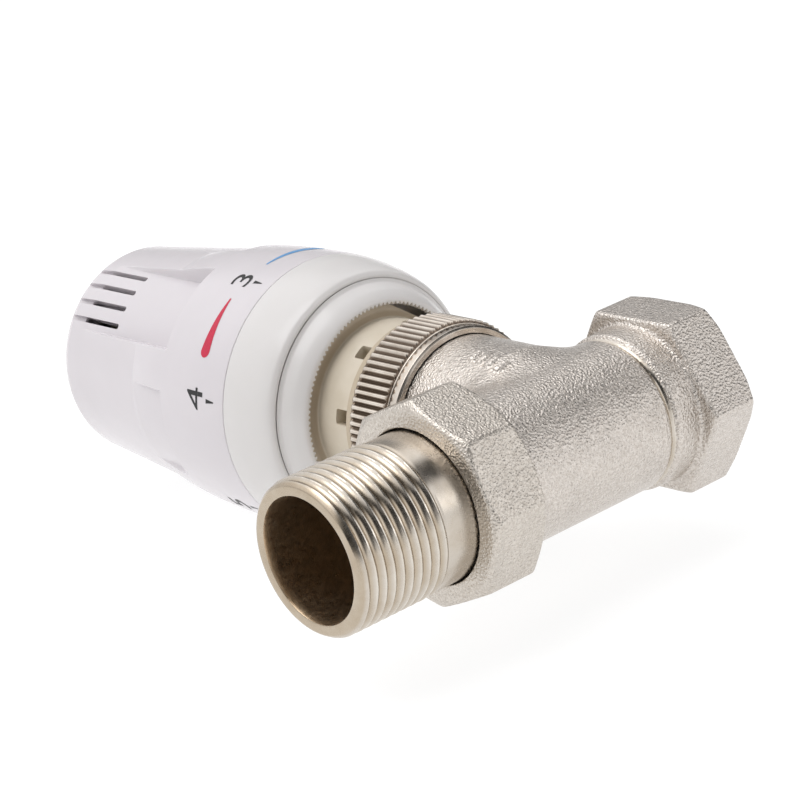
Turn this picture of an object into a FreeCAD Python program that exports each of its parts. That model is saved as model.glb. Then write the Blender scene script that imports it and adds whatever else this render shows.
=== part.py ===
"""Thermostatic radiator valve, DN20 straight pattern, with its sensor head.

Frame, in millimetres: the origin is the centre of the pipe-side end face, +X leaves the valve
there along the pipe axis, +Y runs along the head axis towards the closed end of the handwheel,
and +Z is up. The head axis crosses the pipe axis at head_x.
"""
import math
import os
import re

import FreeCAD
import Part
import Sketcher

OUT = "parts"

DIMENSIONS = {
    # pipe axis, as distances from the pipe-side end face
    "overall_length": 84.5,
    "head_offset": 30.5,
    "pipe_hex_flats": 30.3,
    "pipe_hex_end": 10.2,
    "pipe_hex_face_radius": 15.9,
    "pipe_hex_chamfer": 1.0,
    "socket_radius": 12.06,
    "socket_depth": 14.5,
    "bore_radius": 9.3,
    "collar_radius": 13.9,
    "collar_end": 15.8,
    "groove_radius": 12.9,
    "groove_end": 16.8,
    "barrel_radius": 13.4,
    "barrel_end": 48.8,
    "spigot_radius": 14.5,
    "spigot_end": 52.4,
    # union
    "seal_thickness": 1.2,
    "seal_outer_radius": 13.6,
    "tail_collar_radius": 14.1,
    "tail_collar_end": 57.6,
    "tail_neck_radius": 13.0,
    "tail_thread_end": 66.4,
    "thread_radius": 13.22,
    "thread_root_radius": 12.2,
    "thread_pitch": 1.814,
    "thread_crest": 0.4,
    "thread_turns": 9,
    "tail_bore_radius": 10.55,
    "tail_face_radius": 12.4,
    "nut_flats": 33.2,
    "nut_begin": 49.2,
    "nut_end": 60.7,
    "nut_face_radius": 16.4,
    "nut_chamfer": 0.9,
    "nut_shoulder": 57.9,
    "nut_hole_radius": 13.55,
    "nut_chamber_radius": 14.6,
    # flow passages and seat, as heights along the head axis
    "neck_radius": 15.3,
    "neck_root": 6.5,
    "neck_top": 22.2,
    "neck_thread_radius": 14.5,
    "neck_end": 27.6,
    "chamber_radius": 10.4,
    "web_bottom": 3.6,
    "web_top": 5.2,
    "seat_top": 6.0,
    "seat_radius": 6.5,
    "seat_lip_radius": 7.8,
    "wall_thickness": 2.5,
    "port_half_width": 6.0,
    "port_height": 9.0,
    # valve insert
    "insert_thread_radius": 10.6,
    "insert_radius": 10.5,
    "insert_bottom": 14.0,
    "insert_cavity_radius": 7.2,
    "insert_cavity_top": 25.0,
    "insert_head_radius": 9.6,
    "insert_head_top": 31.6,
    "packing_radius": 4.6,
    "packing_bottom": 27.6,
    "oring_groove_bottom": 16.2,
    "oring_wire": 0.9,
    "packing_ring_wire": 1.2,
    "gland_bottom": 30.2,
    "gland_top": 33.4,
    "gland_flange_radius": 5.6,
    "spindle_radius": 2.0,
    "spindle_clearance": 0.06,
    "spindle_bottom": 7.4,
    "spindle_top": 36.2,
    "spring_seat_bottom": 14.4,
    "spring_seat_top": 15.6,
    "clip_bottom": 23.4,
    "clip_top": 24.2,
    "clip_radius": 5.6,
    "spring_play": 0.1,
    "return_spring_radius": 4.6,
    "return_spring_wire": 0.8,
    "return_spring_turns": 5,
    "washer_bottom": 8.9,
    "washer_top": 10.1,
    "washer_radius": 8.0,
    "holder_top": 12.2,
    "holder_radius": 8.5,
    "retainer_radius": 3.4,
    "retainer_bottom": 7.4,
    # knurled head nut
    "head_nut_bottom": 21.7,
    "head_nut_band": 23.8,
    "head_nut_top": 32.4,
    "head_nut_radius": 17.6,
    "head_nut_lip_radius": 16.75,
    "head_nut_mouth_radius": 15.9,
    "head_nut_thread_radius": 14.6,
    "head_nut_shoulder": 30.0,
    "head_nut_hole_radius": 12.6,
    "knurl_count": 78,
    "knurl_depth": 0.45,
    # head base
    "base_bottom": 27.6,
    "base_foot_top": 29.6,
    "base_foot_radius": 14.1,
    "base_neck_radius": 12.3,
    "base_inner_radius": 11.0,
    "base_step_bottom": 32.8,
    "base_step_top": 34.7,
    "base_step_radius": 16.3,
    "base_hub_radius": 15.4,
    "base_hub_top": 42.9,
    "base_dish_radius": 16.4,
    "base_dish_bottom": 44.1,
    "base_rim_radius": 19.6,
    "base_rim_bottom": 44.3,
    "base_rim_top": 45.6,
    "base_web_bottom": 38.0,
    "base_web_top": 40.5,
    "cage_radius": 14.6,
    "cage_inner_radius": 13.2,
    "cage_top": 94.0,
    "cage_slot_bottom": 56.0,
    "cage_slot_width": 7.0,
    "cage_slot_count": 4,
    "cage_slot_angle": 45.0,
    "push_pin_hole_radius": 2.5,
    "window_count": 8,
    "window_width": 2.7,
    "window_bottom": 35.0,
    "window_top": 38.2,
    "window_angle": 121.0,
    "slit_width": 1.4,
    "slit_top": 32.0,
    "notch_angle": 54.0,
    "notch_width": 11.0,
    "notch_inner_radius": 16.6,
    # serrated limiting ring and index ring
    "serration_tip_radius": 17.7,
    "serration_root_radius": 18.25,
    "serration_count": 120,
    "limit_ring_bottom": 42.2,
    "limit_ring_lip_top": 43.0,
    "limit_ring_radius": 21.3,
    "limit_ring_bore_radius": 19.9,
    "limit_ring_shoulder": 45.8,
    "limit_ring_top": 47.6,
    "limit_ring_crown": 6.0,
    "rim_inner_radius": 21.9,
    "rim_bottom": 46.6,
    "rim_mid_radius": 24.3,
    "rim_mid": 52.0,
    "rim_crown": 9.0,
    "seam_radius": 24.95,
    "seam": 57.5,
    "seam_gap": 0.2,
    "index_wall_radius": 21.2,
    "index_web_bottom": 48.0,
    "index_web_top": 50.2,
    "index_hole_radius": 14.9,
    "index_spigot_radius": 22.6,
    "index_spigot_top": 60.0,
    # handwheel
    "grip_radius": 24.35,
    "grip_top": 76.0,
    "grip_crown": 160.0,
    "shoulder_radius": 22.4,
    "shoulder_top": 88.0,
    "shoulder_crown": 80.0,
    "crown_radius": 19.95,
    "crown_begin": 112.5,
    "crown_fillet": 10.5,
    "end_radius": 14.0,
    "end_begin": 117.6,
    "end_centre": 118.8,
    "end_inner": 115.4,
    "wheel_bore_radius": 22.9,
    "wheel_bore_top": 72.0,
    "wheel_throat_radius": 18.8,
    "wheel_throat": 75.5,
    "wheel_inner_end_radius": 18.3,
    "wheel_inner_end": 113.0,
    "sleeve_radius": 17.0,
    "sleeve_inner_radius": 15.7,
    "sleeve_bottom": 62.0,
    "recess_count": 3,
    "recess_angle": 41.2,
    "pocket_centre_angle": 128.6,
    "pocket_begin": 76.5,
    "pocket_end": 109.0,
    "pocket_radius": 20.35,
    "panel_begin": 77.0,
    "panel_begin_radius": 23.45,
    "panel_end": 89.0,
    "panel_end_radius": 22.36,
    "vent_count": 4,
    "vent_pitch_angle": 10.0,
    "vent_width": 1.05,
    "vent_begin": 97.7,
    "vent_end": 109.8,
    "vent_inner_radius": 15.2,
    "vent_groove_radius": 19.0,
    "vent_groove_end": 114.4,
    # sensor train
    "carrier_radius": 12.9,
    "carrier_inner_radius": 11.3,
    "carrier_bottom": 66.0,
    "carrier_top": 110.0,
    "carrier_cap": 107.6,
    "lug_radius": 15.0,
    "lug_width": 6.4,
    "lug_bottom": 84.0,
    "lug_top": 92.0,
    "capsule_radius": 11.1,
    "capsule_bottom": 70.0,
    "capsule_top": 101.0,
    "capsule_edge": 1.2,
    "capsule_nose_radius": 4.0,
    "capsule_nose_bottom": 67.6,
    "ring_clip_bottom": 68.2,
    "ring_clip_top": 69.8,
    "ring_clip_inner_radius": 7.0,
    "overtravel_radius": 7.6,
    "overtravel_wire": 1.4,
    "overtravel_turns": 3,
    "sensor_pin_radius": 1.3,
    "sensor_pin_hole_radius": 1.4,
    "sensor_pin_top": 78.0,
    "push_pin_radius": 2.4,
    "push_pin_top": 66.6,
    "push_pin_head_radius": 3.8,
    "push_pin_head_bottom": 64.4,
}

NAME = re.compile(r"[a-z][a-z_0-9]*")
AXIS_X = FreeCAD.Vector(1, 0, 0)
AXIS_Y = FreeCAD.Vector(0, 1, 0)
AXIS_Z = FreeCAD.Vector(0, 0, 1)
ALONG_X = FreeCAD.Rotation(FreeCAD.Vector(1, 1, 1), 120)
ALONG_Y = FreeCAD.Rotation(AXIS_X, -90)

# sections of the two kinds of recess in the handwheel: deep vented pockets and shallow panels
POCKET_SECTION = [
    ("pocket_radius", "pocket_begin"),
    ("seam_radius + 1", "pocket_begin"),
    ("seam_radius + 1", "pocket_end"),
    ("pocket_radius", "pocket_end"),
]
PANEL_SECTION = [
    ("panel_begin_radius", "panel_begin"),
    ("seam_radius + 1", "panel_begin"),
    ("seam_radius + 1", "panel_end"),
    ("panel_end_radius", "panel_end"),
]

nodes = []
doc = FreeCAD.newDocument("radiator_valve")
sheet = doc.addObject("Spreadsheet::Sheet", "sizes")
for row, (alias, value) in enumerate(DIMENSIONS.items(), start=1):
    sheet.set(f"A{row}", alias)
    sheet.set(f"B{row}", str(value))
    sheet.setAlias(f"B{row}", alias)
doc.recompute()


def bound(text):
    """The expression with each dimension's name pointed at the sheet."""
    return NAME.sub(lambda word: f"sizes.{word.group()}", text)


def value(text):
    """The number that an expression of the sheet's dimensions comes to."""
    return float(sheet.evalExpression(bound(text)))


def on_head_axis(item):
    """Puts the item's own origin where the head axis crosses the pipe axis."""
    item.setExpression("Placement.Base.x", bound("-head_offset"))


def name_node(item, label):
    item.Label = label
    nodes.append(item)
    return item


def add_edge(sketch, start, end, crown, side):
    """A straight edge, or an arc of radius crown that bulges to the left (side 1) or right (-1)."""
    a = FreeCAD.Vector(*start, 0)
    b = FreeCAD.Vector(*end, 0)
    if crown is None:
        return sketch.addGeometry(Part.LineSegment(a, b)), 1, 2
    chord = b - a
    left = FreeCAD.Vector(-chord.y, chord.x, 0).normalize()
    drop = math.sqrt(crown**2 - (chord.Length / 2) ** 2)
    centre = (a + b) * 0.5 - left * (side * drop)
    first, last = (b, a) if side > 0 else (a, b)
    circle = Part.Circle(centre, AXIS_Z, crown)
    arc = Part.ArcOfCircle(circle, circle.parameter(first), circle.parameter(last))
    edge = sketch.addGeometry(arc)
    return (edge, 2, 1) if side > 0 else (edge, 1, 2)


def draw_profile(sketch, corners):
    """A closed outline through corners (x, y) or (x, y, crown, side), each tied to the sheet."""
    places = [(value(c[0]), value(c[1])) for c in corners]
    edges = []
    for i, corner in enumerate(corners):
        crown = value(corner[2]) if len(corner) > 2 else None
        side = corner[3] if len(corner) > 2 else 1
        end = places[(i + 1) % len(corners)]
        edges.append(add_edge(sketch, places[i], end, crown, side))
    for i, (edge, start, end) in enumerate(edges):
        following, next_start, _ = edges[(i + 1) % len(edges)]
        sketch.addConstraint(Sketcher.Constraint("Coincident", edge, end, following, next_start))
        for kind, text, axis in (("DistanceX", corners[i][0], -2), ("DistanceY", corners[i][1], -1)):
            if text == "0":
                sketch.addConstraint(Sketcher.Constraint("PointOnObject", edge, start, axis))
            else:
                place = value(text)
                rule = sketch.addConstraint(Sketcher.Constraint(kind, -1, 1, edge, start, place))
                sketch.setExpression(f"Constraints[{rule}]", bound(text))
        if len(corners[i]) > 2:
            crown = value(corners[i][2])
            rule = sketch.addConstraint(Sketcher.Constraint("Radius", edge, crown))
            sketch.setExpression(f"Constraints[{rule}]", bound(corners[i][2]))


def origin_plane(body, role):
    return next(f for f in body.Origin.OriginFeatures if f.Role == role)


def turned(name, corners, about):
    """A body of revolution. about V_Axis, corners are (radius, height); H_Axis, (distance, radius)."""
    body = doc.addObject("PartDesign::Body", name)
    sketch = body.newObject("Sketcher::SketchObject", f"{name}_profile")
    sketch.AttachmentSupport = [(origin_plane(body, "XY_Plane"), "")]
    sketch.MapMode = "FlatFace"
    draw_profile(sketch, corners)
    revolution = body.newObject("PartDesign::Revolution", f"{name}_turn")
    revolution.Profile = sketch
    revolution.ReferenceAxis = (sketch, [about])
    revolution.Angle = 360
    sketch.Visibility = False
    return body


def head_turned(name, corners):
    body = turned(name, corners, "V_Axis")
    on_head_axis(body)
    return body


def pipe_turned(name, corners):
    """Distances run from the pipe-side end face towards the radiator."""
    body = turned(name, corners, "H_Axis")
    body.Placement.Rotation = FreeCAD.Rotation(AXIS_Z, 180)
    return body


def ring(name, inner, outer, bottom, top):
    corners = [(inner, bottom), (outer, bottom), (outer, top), (inner, top)]
    return head_turned(name, corners)


def primitive(kind, name, sizes):
    item = doc.addObject(kind, name)
    for prop, text in sizes.items():
        item.setExpression(prop, bound(text))
    return item


def cut(name, base, tools):
    """base less every tool, one after another."""
    for i, tool in enumerate(tools):
        step = doc.addObject("Part::Cut", f"{name}_cut_{i}")
        step.Base = base
        step.Tool = tool
        base = step
    return base


def fuse(name, items):
    joined = doc.addObject("Part::MultiFuse", name)
    joined.Shapes = items
    return joined


def common(name, items):
    shared = doc.addObject("Part::MultiCommon", name)
    shared.Shapes = items
    return shared


def pipe_cylinder(name, radius, begin, end):
    """A cylinder on the pipe axis between two distances from the pipe-side end face."""
    item = primitive("Part::Cylinder", name, {"Radius": radius, "Height": f"({end}) - ({begin})"})
    item.Placement.Rotation = ALONG_X
    item.setExpression("Placement.Base.x", bound(f"-({end})"))
    return item


def head_cylinder(name, radius, bottom, top):
    item = primitive("Part::Cylinder", name, {"Radius": radius, "Height": f"({top}) - ({bottom})"})
    item.Placement.Rotation = ALONG_Y
    on_head_axis(item)
    item.setExpression("Placement.Base.y", bound(bottom))
    return item


def pipe_prism(name, sides, flats, begin, end):
    """A regular prism on the pipe axis, with corners towards +Y and -Y."""
    item = doc.addObject("Part::Prism", name)
    item.Polygon = sides
    item.setExpression("Circumradius", bound(f"{flats} / 2") + f" / cos({180 / sides} deg)")
    item.setExpression("Height", bound(f"({end}) - ({begin})"))
    item.Placement.Rotation = ALONG_X
    item.setExpression("Placement.Base.x", bound(f"-({end})"))
    return item


def head_block(name, inner, outer, width, bottom, top, angle):
    """A box that runs outwards from the head axis at an angle, counted from +X towards +Z."""
    item = primitive(
        "Part::Box",
        name,
        {"Length": f"({outer}) - ({inner})", "Width": f"({top}) - ({bottom})", "Height": width},
    )
    turn = FreeCAD.Rotation(AXIS_Y, -angle)
    corner = FreeCAD.Vector(value(inner), value(bottom), -value(width) / 2)
    foot = FreeCAD.Vector(-value("head_offset"), 0, 0)
    item.Placement = FreeCAD.Placement(foot + turn.multVec(corner), turn)
    return item


def star_prism(name, count, tip, root, bottom, top):
    """A sawtooth prism on the head axis, its outline alternating between two radii."""
    step = 2 * math.pi / count
    points = []
    for i in range(count):
        for radius, angle in ((tip, i * step), (root, (i + 0.5) * step)):
            points.append(FreeCAD.Vector(radius * math.cos(angle), bottom, radius * math.sin(angle)))
    face = Part.Face(Part.makePolygon(points + points[:1]))
    item = doc.addObject("Part::Feature", name)
    item.Shape = face.extrude(AXIS_Y * (top - bottom))
    on_head_axis(item)
    return item


def coil(name, radius, wire, turns, bottom, top):
    """A helical spring on the head axis whose wire fills the height between bottom and top."""
    helix = doc.addObject("Part::Helix", f"{name}_helix")
    helix.setExpression("Radius", bound(radius))
    helix.setExpression("Height", bound(f"({top}) - ({bottom}) - {wire}"))
    helix.setExpression("Pitch", bound(f"(({top}) - ({bottom}) - {wire}) / {turns}"))
    section = doc.addObject("Part::Circle", f"{name}_section")
    section.setExpression("Radius", bound(f"{wire} / 2"))
    section.setExpression("Placement.Base.x", bound(radius))
    section.Placement.Rotation = FreeCAD.Rotation(AXIS_X, 90)
    sweep = doc.addObject("Part::Sweep", name)
    sweep.Sections = [section]
    sweep.Spine = (helix, ["Edge1"])
    sweep.Solid = True
    sweep.Frenet = True
    sweep.Placement.Rotation = ALONG_Y
    on_head_axis(sweep)
    sweep.setExpression("Placement.Base.y", bound(f"{bottom} + {wire} / 2"))
    return sweep


def oring(name, radius, wire, height):
    item = primitive("Part::Torus", name, {"Radius1": radius, "Radius2": f"{wire}"})
    item.Placement.Rotation = ALONG_Y
    on_head_axis(item)
    item.setExpression("Placement.Base.y", bound(height))
    return item


def make_valve_body():
    barrel = pipe_turned(
        "body_barrel",
        [
            ("pipe_hex_end - 1", "0"),
            ("pipe_hex_end - 1", "barrel_radius + 0.3"),
            ("pipe_hex_end + 1.2", "barrel_radius + 0.3"),
            ("pipe_hex_end + 1.9", "collar_radius"),
            ("collar_end", "collar_radius"),
            ("collar_end", "groove_radius"),
            ("groove_end", "groove_radius"),
            ("groove_end + 0.3", "barrel_radius"),
            ("barrel_end", "barrel_radius"),
            ("barrel_end", "spigot_radius"),
            ("spigot_end", "spigot_radius"),
            ("spigot_end", "0"),
        ],
    )
    hexagon = pipe_prism("body_hex", 6, "pipe_hex_flats", "0", "pipe_hex_end")
    envelope = pipe_turned(
        "body_hex_envelope",
        [
            ("0", "0"),
            ("0", "pipe_hex_face_radius"),
            ("pipe_hex_chamfer", "pipe_hex_flats / 2 + 2.6"),
            ("pipe_hex_end - 0.6", "pipe_hex_flats / 2 + 2.6"),
            ("pipe_hex_end", "pipe_hex_face_radius + 0.6"),
            ("pipe_hex_end", "0"),
        ],
    )
    neck = head_turned(
        "body_neck",
        [
            ("0", "0"),
            ("barrel_radius - 3", "0"),
            ("neck_radius", "neck_root"),
            ("neck_radius", "neck_top - 0.5"),
            ("neck_radius - 0.5", "neck_top"),
            ("neck_thread_radius", "neck_top"),
            ("neck_thread_radius", "neck_end"),
            ("0", "neck_end"),
        ],
    )
    shell = fuse("body_shell", [barrel, common("body_hex_nut", [hexagon, envelope]), neck])
    inlet_far = "head_offset + chamber_radius + wall_thickness"
    web_far = "head_offset - chamber_radius + wall_thickness + 1"
    inlet = pipe_cylinder("inlet_bore", "bore_radius", inlet_far, "spigot_end")
    under_web = common(
        "under_web",
        [
            pipe_cylinder("under_web_bore", "bore_radius", web_far, inlet_far),
            box_on_pipe(
                "under_web_block", web_far, inlet_far, "-bore_radius", "web_bottom", "bore_radius"
            ),
        ],
    )
    outlet_far = "head_offset - chamber_radius + 0.9"
    outlet = pipe_cylinder("outlet_bore", "bore_radius", "socket_depth", outlet_far)
    port = box_on_pipe(
        "outlet_port",
        "socket_depth + 0.5",
        "head_offset - chamber_radius + 4",
        "web_top",
        "port_height",
        "port_half_width",
    )
    socket = pipe_cylinder("pipe_socket", "socket_radius", "0", "socket_depth")
    chamber = head_turned(
        "chamber",
        [
            ("0", "web_bottom - 1"),
            ("seat_radius", "web_bottom - 1"),
            ("seat_radius", "seat_top"),
            ("seat_lip_radius", "seat_top"),
            ("seat_lip_radius", "web_top"),
            ("chamber_radius", "web_top"),
            ("chamber_radius", "insert_bottom - 0.5"),
            ("insert_thread_radius", "insert_bottom - 0.3"),
            ("insert_thread_radius", "neck_end"),
            ("0", "neck_end"),
        ],
    )
    return cut("valve_body", shell, [inlet, under_web, outlet, port, socket, chamber])


def box_on_pipe(name, begin, end, bottom, top, half_width):
    """A box along the pipe between two distances, from height bottom to top on the head axis."""
    item = primitive(
        "Part::Box",
        name,
        {
            "Length": f"({end}) - ({begin})",
            "Width": f"({top}) - ({bottom})",
            "Height": f"2 * {half_width}",
        },
    )
    item.setExpression("Placement.Base.x", bound(f"-({end})"))
    item.setExpression("Placement.Base.y", bound(bottom))
    item.setExpression("Placement.Base.z", bound(f"-({half_width})"))
    return item


def make_tailpiece():
    corners = [
        ("spigot_end + seal_thickness", "tail_bore_radius"),
        ("spigot_end + seal_thickness", "tail_collar_radius"),
        ("tail_collar_end", "tail_collar_radius"),
        ("tail_collar_end", "tail_neck_radius"),
        ("tail_thread_end", "tail_neck_radius"),
    ]
    for turn in range(int(value("thread_turns"))):
        crest = f"tail_thread_end + {turn} * thread_pitch"
        corners += [
            (f"{crest} + 0.5", "thread_root_radius"),
            (f"{crest} + 0.7", "thread_root_radius"),
            (f"{crest} + thread_pitch - thread_crest", "thread_radius"),
            (f"{crest} + thread_pitch", "thread_radius"),
        ]
    corners[-1] = ("overall_length", "tail_face_radius")
    corners.append(("overall_length", "tail_bore_radius"))
    return pipe_turned("tailpiece", corners)


def make_union_nut():
    prism = pipe_prism("union_nut_prism", 8, "nut_flats", "nut_begin", "nut_end")
    corner = "nut_flats / 2 + 1.5"
    envelope = pipe_turned(
        "union_nut_envelope",
        [
            ("nut_begin", "nut_chamber_radius"),
            ("nut_begin", "nut_face_radius"),
            ("nut_begin + nut_chamfer", corner),
            ("nut_end - nut_chamfer", corner),
            ("nut_end", "nut_face_radius"),
            ("nut_end", "nut_hole_radius"),
            ("nut_shoulder", "nut_hole_radius"),
            ("nut_shoulder", "nut_chamber_radius"),
        ],
    )
    return common("union_nut", [prism, envelope])


def make_insert():
    body = head_turned(
        "insert_sleeve",
        [
            ("insert_cavity_radius", "insert_bottom"),
            ("insert_radius", "insert_bottom"),
            ("insert_radius", "oring_groove_bottom"),
            ("insert_radius - oring_wire", "oring_groove_bottom"),
            ("insert_radius - oring_wire", "oring_groove_bottom + 2 * oring_wire"),
            ("insert_radius", "oring_groove_bottom + 2 * oring_wire"),
            ("insert_radius", "neck_end"),
            ("insert_head_radius", "neck_end"),
            ("insert_head_radius", "insert_head_top"),
            ("packing_radius", "insert_head_top"),
            ("packing_radius", "packing_bottom"),
            ("spindle_radius + spindle_clearance", "packing_bottom"),
            ("spindle_radius + spindle_clearance", "insert_cavity_top"),
            ("insert_cavity_radius", "insert_cavity_top"),
        ],
    )
    return body


def make_head_nut():
    blank = head_turned(
        "head_nut_blank",
        [
            ("head_nut_mouth_radius", "head_nut_bottom"),
            ("head_nut_lip_radius", "head_nut_bottom"),
            ("head_nut_lip_radius", "head_nut_band"),
            ("head_nut_radius - knurl_depth", "head_nut_band"),
            ("head_nut_radius", "head_nut_band + knurl_depth"),
            ("head_nut_radius", "head_nut_top - knurl_depth"),
            ("head_nut_radius - knurl_depth", "head_nut_top"),
            ("head_nut_hole_radius", "head_nut_top"),
            ("head_nut_hole_radius", "head_nut_shoulder"),
            ("head_nut_thread_radius", "head_nut_shoulder"),
            ("head_nut_thread_radius", "head_nut_bottom + 2"),
        ],
    )
    knurl = star_prism(
        "head_nut_knurl",
        int(value("knurl_count")),
        value("head_nut_radius"),
        value("head_nut_radius - knurl_depth"),
        value("head_nut_bottom"),
        value("head_nut_top"),
    )
    return common("head_nut", [blank, knurl])


def make_head_base():
    blank = head_turned(
        "head_base_blank",
        [
            ("base_inner_radius", "base_bottom"),
            ("base_foot_radius", "base_bottom"),
            ("base_foot_radius", "base_foot_top"),
            ("base_neck_radius", "base_foot_top"),
            ("base_neck_radius", "base_step_bottom"),
            ("base_step_radius", "base_step_bottom"),
            ("base_step_radius", "base_step_top"),
            ("base_hub_radius", "base_step_top"),
            ("base_hub_radius", "base_hub_top"),
            ("base_dish_radius", "base_dish_bottom"),
            ("base_rim_radius", "base_rim_bottom"),
            ("base_rim_radius", "base_rim_top"),
            ("cage_radius", "base_rim_top"),
            ("cage_radius", "cage_top"),
            ("cage_inner_radius", "cage_top"),
            ("cage_inner_radius", "base_web_top"),
            ("push_pin_hole_radius", "base_web_top"),
            ("push_pin_hole_radius", "base_web_bottom"),
            ("base_inner_radius", "base_web_bottom"),
        ],
    )
    tools = []
    count = int(value("window_count"))
    for i in range(count):
        angle = value("window_angle") + 360 * i / count
        tools.append(
            head_block(
                f"base_window_{i}",
                "base_inner_radius + 2.2",
                "base_hub_radius + 0.4",
                "window_width",
                "window_bottom",
                "window_top",
                angle,
            )
        )
        tools.append(
            head_block(
                f"base_slit_{i}",
                "base_inner_radius - 0.5",
                "base_foot_radius + 0.5",
                "slit_width",
                "base_bottom",
                "slit_top",
                angle,
            )
        )
    slots = int(value("cage_slot_count"))
    for i in range(slots):
        tools.append(
            head_block(
                f"base_cage_slot_{i}",
                "cage_inner_radius - 0.8",
                "cage_radius + 0.5",
                "cage_slot_width",
                "cage_slot_bottom",
                "cage_top",
                value("cage_slot_angle") + 360 * i / slots,
            )
        )
    tools.append(
        head_block(
            "base_notch",
            "notch_inner_radius",
            "base_rim_radius + 0.6",
            "notch_width",
            "base_hub_top",
            "base_rim_top",
            value("notch_angle"),
        )
    )
    return cut("head_base", blank, tools)


def make_serrated_ring():
    blank = head_turned(
        "serrated_ring_blank",
        [
            ("serration_tip_radius - 0.3", "limit_ring_bottom"),
            ("serration_root_radius", "limit_ring_bottom", "limit_ring_crown", -1),
            ("limit_ring_radius", "limit_ring_shoulder"),
            ("limit_ring_radius", "limit_ring_top"),
            ("limit_ring_bore_radius", "limit_ring_top"),
            ("limit_ring_bore_radius", "limit_ring_lip_top + 0.7"),
            ("serration_root_radius + 0.3", "limit_ring_lip_top"),
            ("serration_tip_radius - 0.3", "limit_ring_lip_top"),
        ],
    )
    teeth = star_prism(
        "serrated_ring_teeth",
        int(value("serration_count")),
        value("serration_tip_radius"),
        value("serration_root_radius"),
        value("limit_ring_bottom - 0.5"),
        value("limit_ring_top"),
    )
    return cut("serrated_ring", blank, [teeth])


def make_index_ring():
    return head_turned(
        "index_ring",
        [
            ("limit_ring_radius + 0.3", "rim_bottom + 0.3"),
            ("rim_inner_radius", "rim_bottom"),
            ("rim_inner_radius + 0.3", "rim_bottom", "rim_crown", -1),
            ("rim_mid_radius", "rim_mid", "rim_crown * 4", -1),
            ("seam_radius", "seam"),
            ("index_spigot_radius", "seam"),
            ("index_spigot_radius", "index_spigot_top"),
            ("index_wall_radius", "index_spigot_top"),
            ("index_wall_radius", "index_web_top"),
            ("index_hole_radius", "index_web_top"),
            ("index_hole_radius", "index_web_bottom"),
            ("limit_ring_radius + 0.3", "index_web_bottom"),
        ],
    )


def make_handwheel():
    shell = head_turned(
        "handwheel_shell",
        [
            ("wheel_bore_radius", "seam + seam_gap"),
            ("seam_radius", "seam + seam_gap", "grip_crown", -1),
            ("grip_radius", "grip_top", "shoulder_crown", -1),
            ("shoulder_radius", "shoulder_top"),
            ("crown_radius", "crown_begin", "crown_fillet", -1),
            ("end_radius", "end_begin"),
            ("0", "end_centre"),
            ("0", "end_inner"),
            ("sleeve_inner_radius", "end_inner"),
            ("sleeve_inner_radius", "sleeve_bottom"),
            ("sleeve_radius", "sleeve_bottom"),
            ("sleeve_radius", "wheel_inner_end + 0.6"),
            ("wheel_inner_end_radius", "wheel_inner_end"),
            ("wheel_throat_radius", "wheel_throat"),
            ("wheel_bore_radius", "wheel_bore_top"),
        ],
    )
    count = int(value("recess_count"))
    tools = []
    for i in range(count):
        centre = value("pocket_centre_angle") + 360 * i / count
        tools.append(recess(f"pocket_{i}", POCKET_SECTION, centre))
        tools.append(recess(f"panel_{i}", PANEL_SECTION, centre + 180 / count))
        tools += vents(i, centre)
    return cut("handwheel", shell, tools)


def recess(name, corners, centre):
    """The space that a recess hollows out of the handwheel, as a part turn of its section."""
    body = turned(name, corners, "V_Axis")
    body.Tip.setExpression("Angle", bound("recess_angle"))
    body.Placement.Rotation = FreeCAD.Rotation(AXIS_Y, -(centre + value("recess_angle") / 2))
    on_head_axis(body)
    return body


def vents(pocket, centre):
    """The slots through one pocket's floor, each with the groove that runs on over the crown."""
    count = int(value("vent_count"))
    tools = []
    for k in range(count):
        angle = centre + (k - (count - 1) / 2) * value("vent_pitch_angle")
        for name, inner, bottom, top in (
            ("vent", "vent_inner_radius", "vent_begin", "vent_end"),
            ("vent_groove", "vent_groove_radius", "vent_end - 0.5", "vent_groove_end"),
        ):
            label = f"{name}_{pocket}_{k}"
            tools.append(head_block(label, inner, "seam_radius", "vent_width", bottom, top, angle))
    return tools


def make_carrier():
    cup = head_turned(
        "sensor_carrier_cup",
        [
            ("carrier_inner_radius", "carrier_bottom"),
            ("carrier_radius", "carrier_bottom"),
            ("carrier_radius", "carrier_top"),
            ("0", "carrier_top"),
            ("0", "carrier_cap"),
            ("carrier_inner_radius", "carrier_cap"),
        ],
    )
    slots = int(value("cage_slot_count"))
    lugs = [
        head_block(
            f"carrier_lug_{i}",
            "carrier_radius - 0.8",
            "lug_radius",
            "lug_width",
            "lug_bottom",
            "lug_top",
            value("cage_slot_angle") + 360 * i / slots,
        )
        for i in range(slots)
    ]
    return fuse("sensor_carrier", [cup, *lugs])


def make_capsule():
    return head_turned(
        "sensor_capsule",
        [
            ("sensor_pin_hole_radius", "capsule_nose_bottom"),
            ("capsule_nose_radius", "capsule_nose_bottom"),
            ("capsule_nose_radius", "capsule_bottom"),
            ("capsule_radius - capsule_edge", "capsule_bottom"),
            ("capsule_radius", "capsule_bottom + capsule_edge"),
            ("capsule_radius", "capsule_top - capsule_edge"),
            ("capsule_radius - capsule_edge", "capsule_top"),
            ("0", "capsule_top"),
            ("0", "sensor_pin_top + 1"),
            ("sensor_pin_hole_radius", "sensor_pin_top + 1"),
        ],
    )


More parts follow.
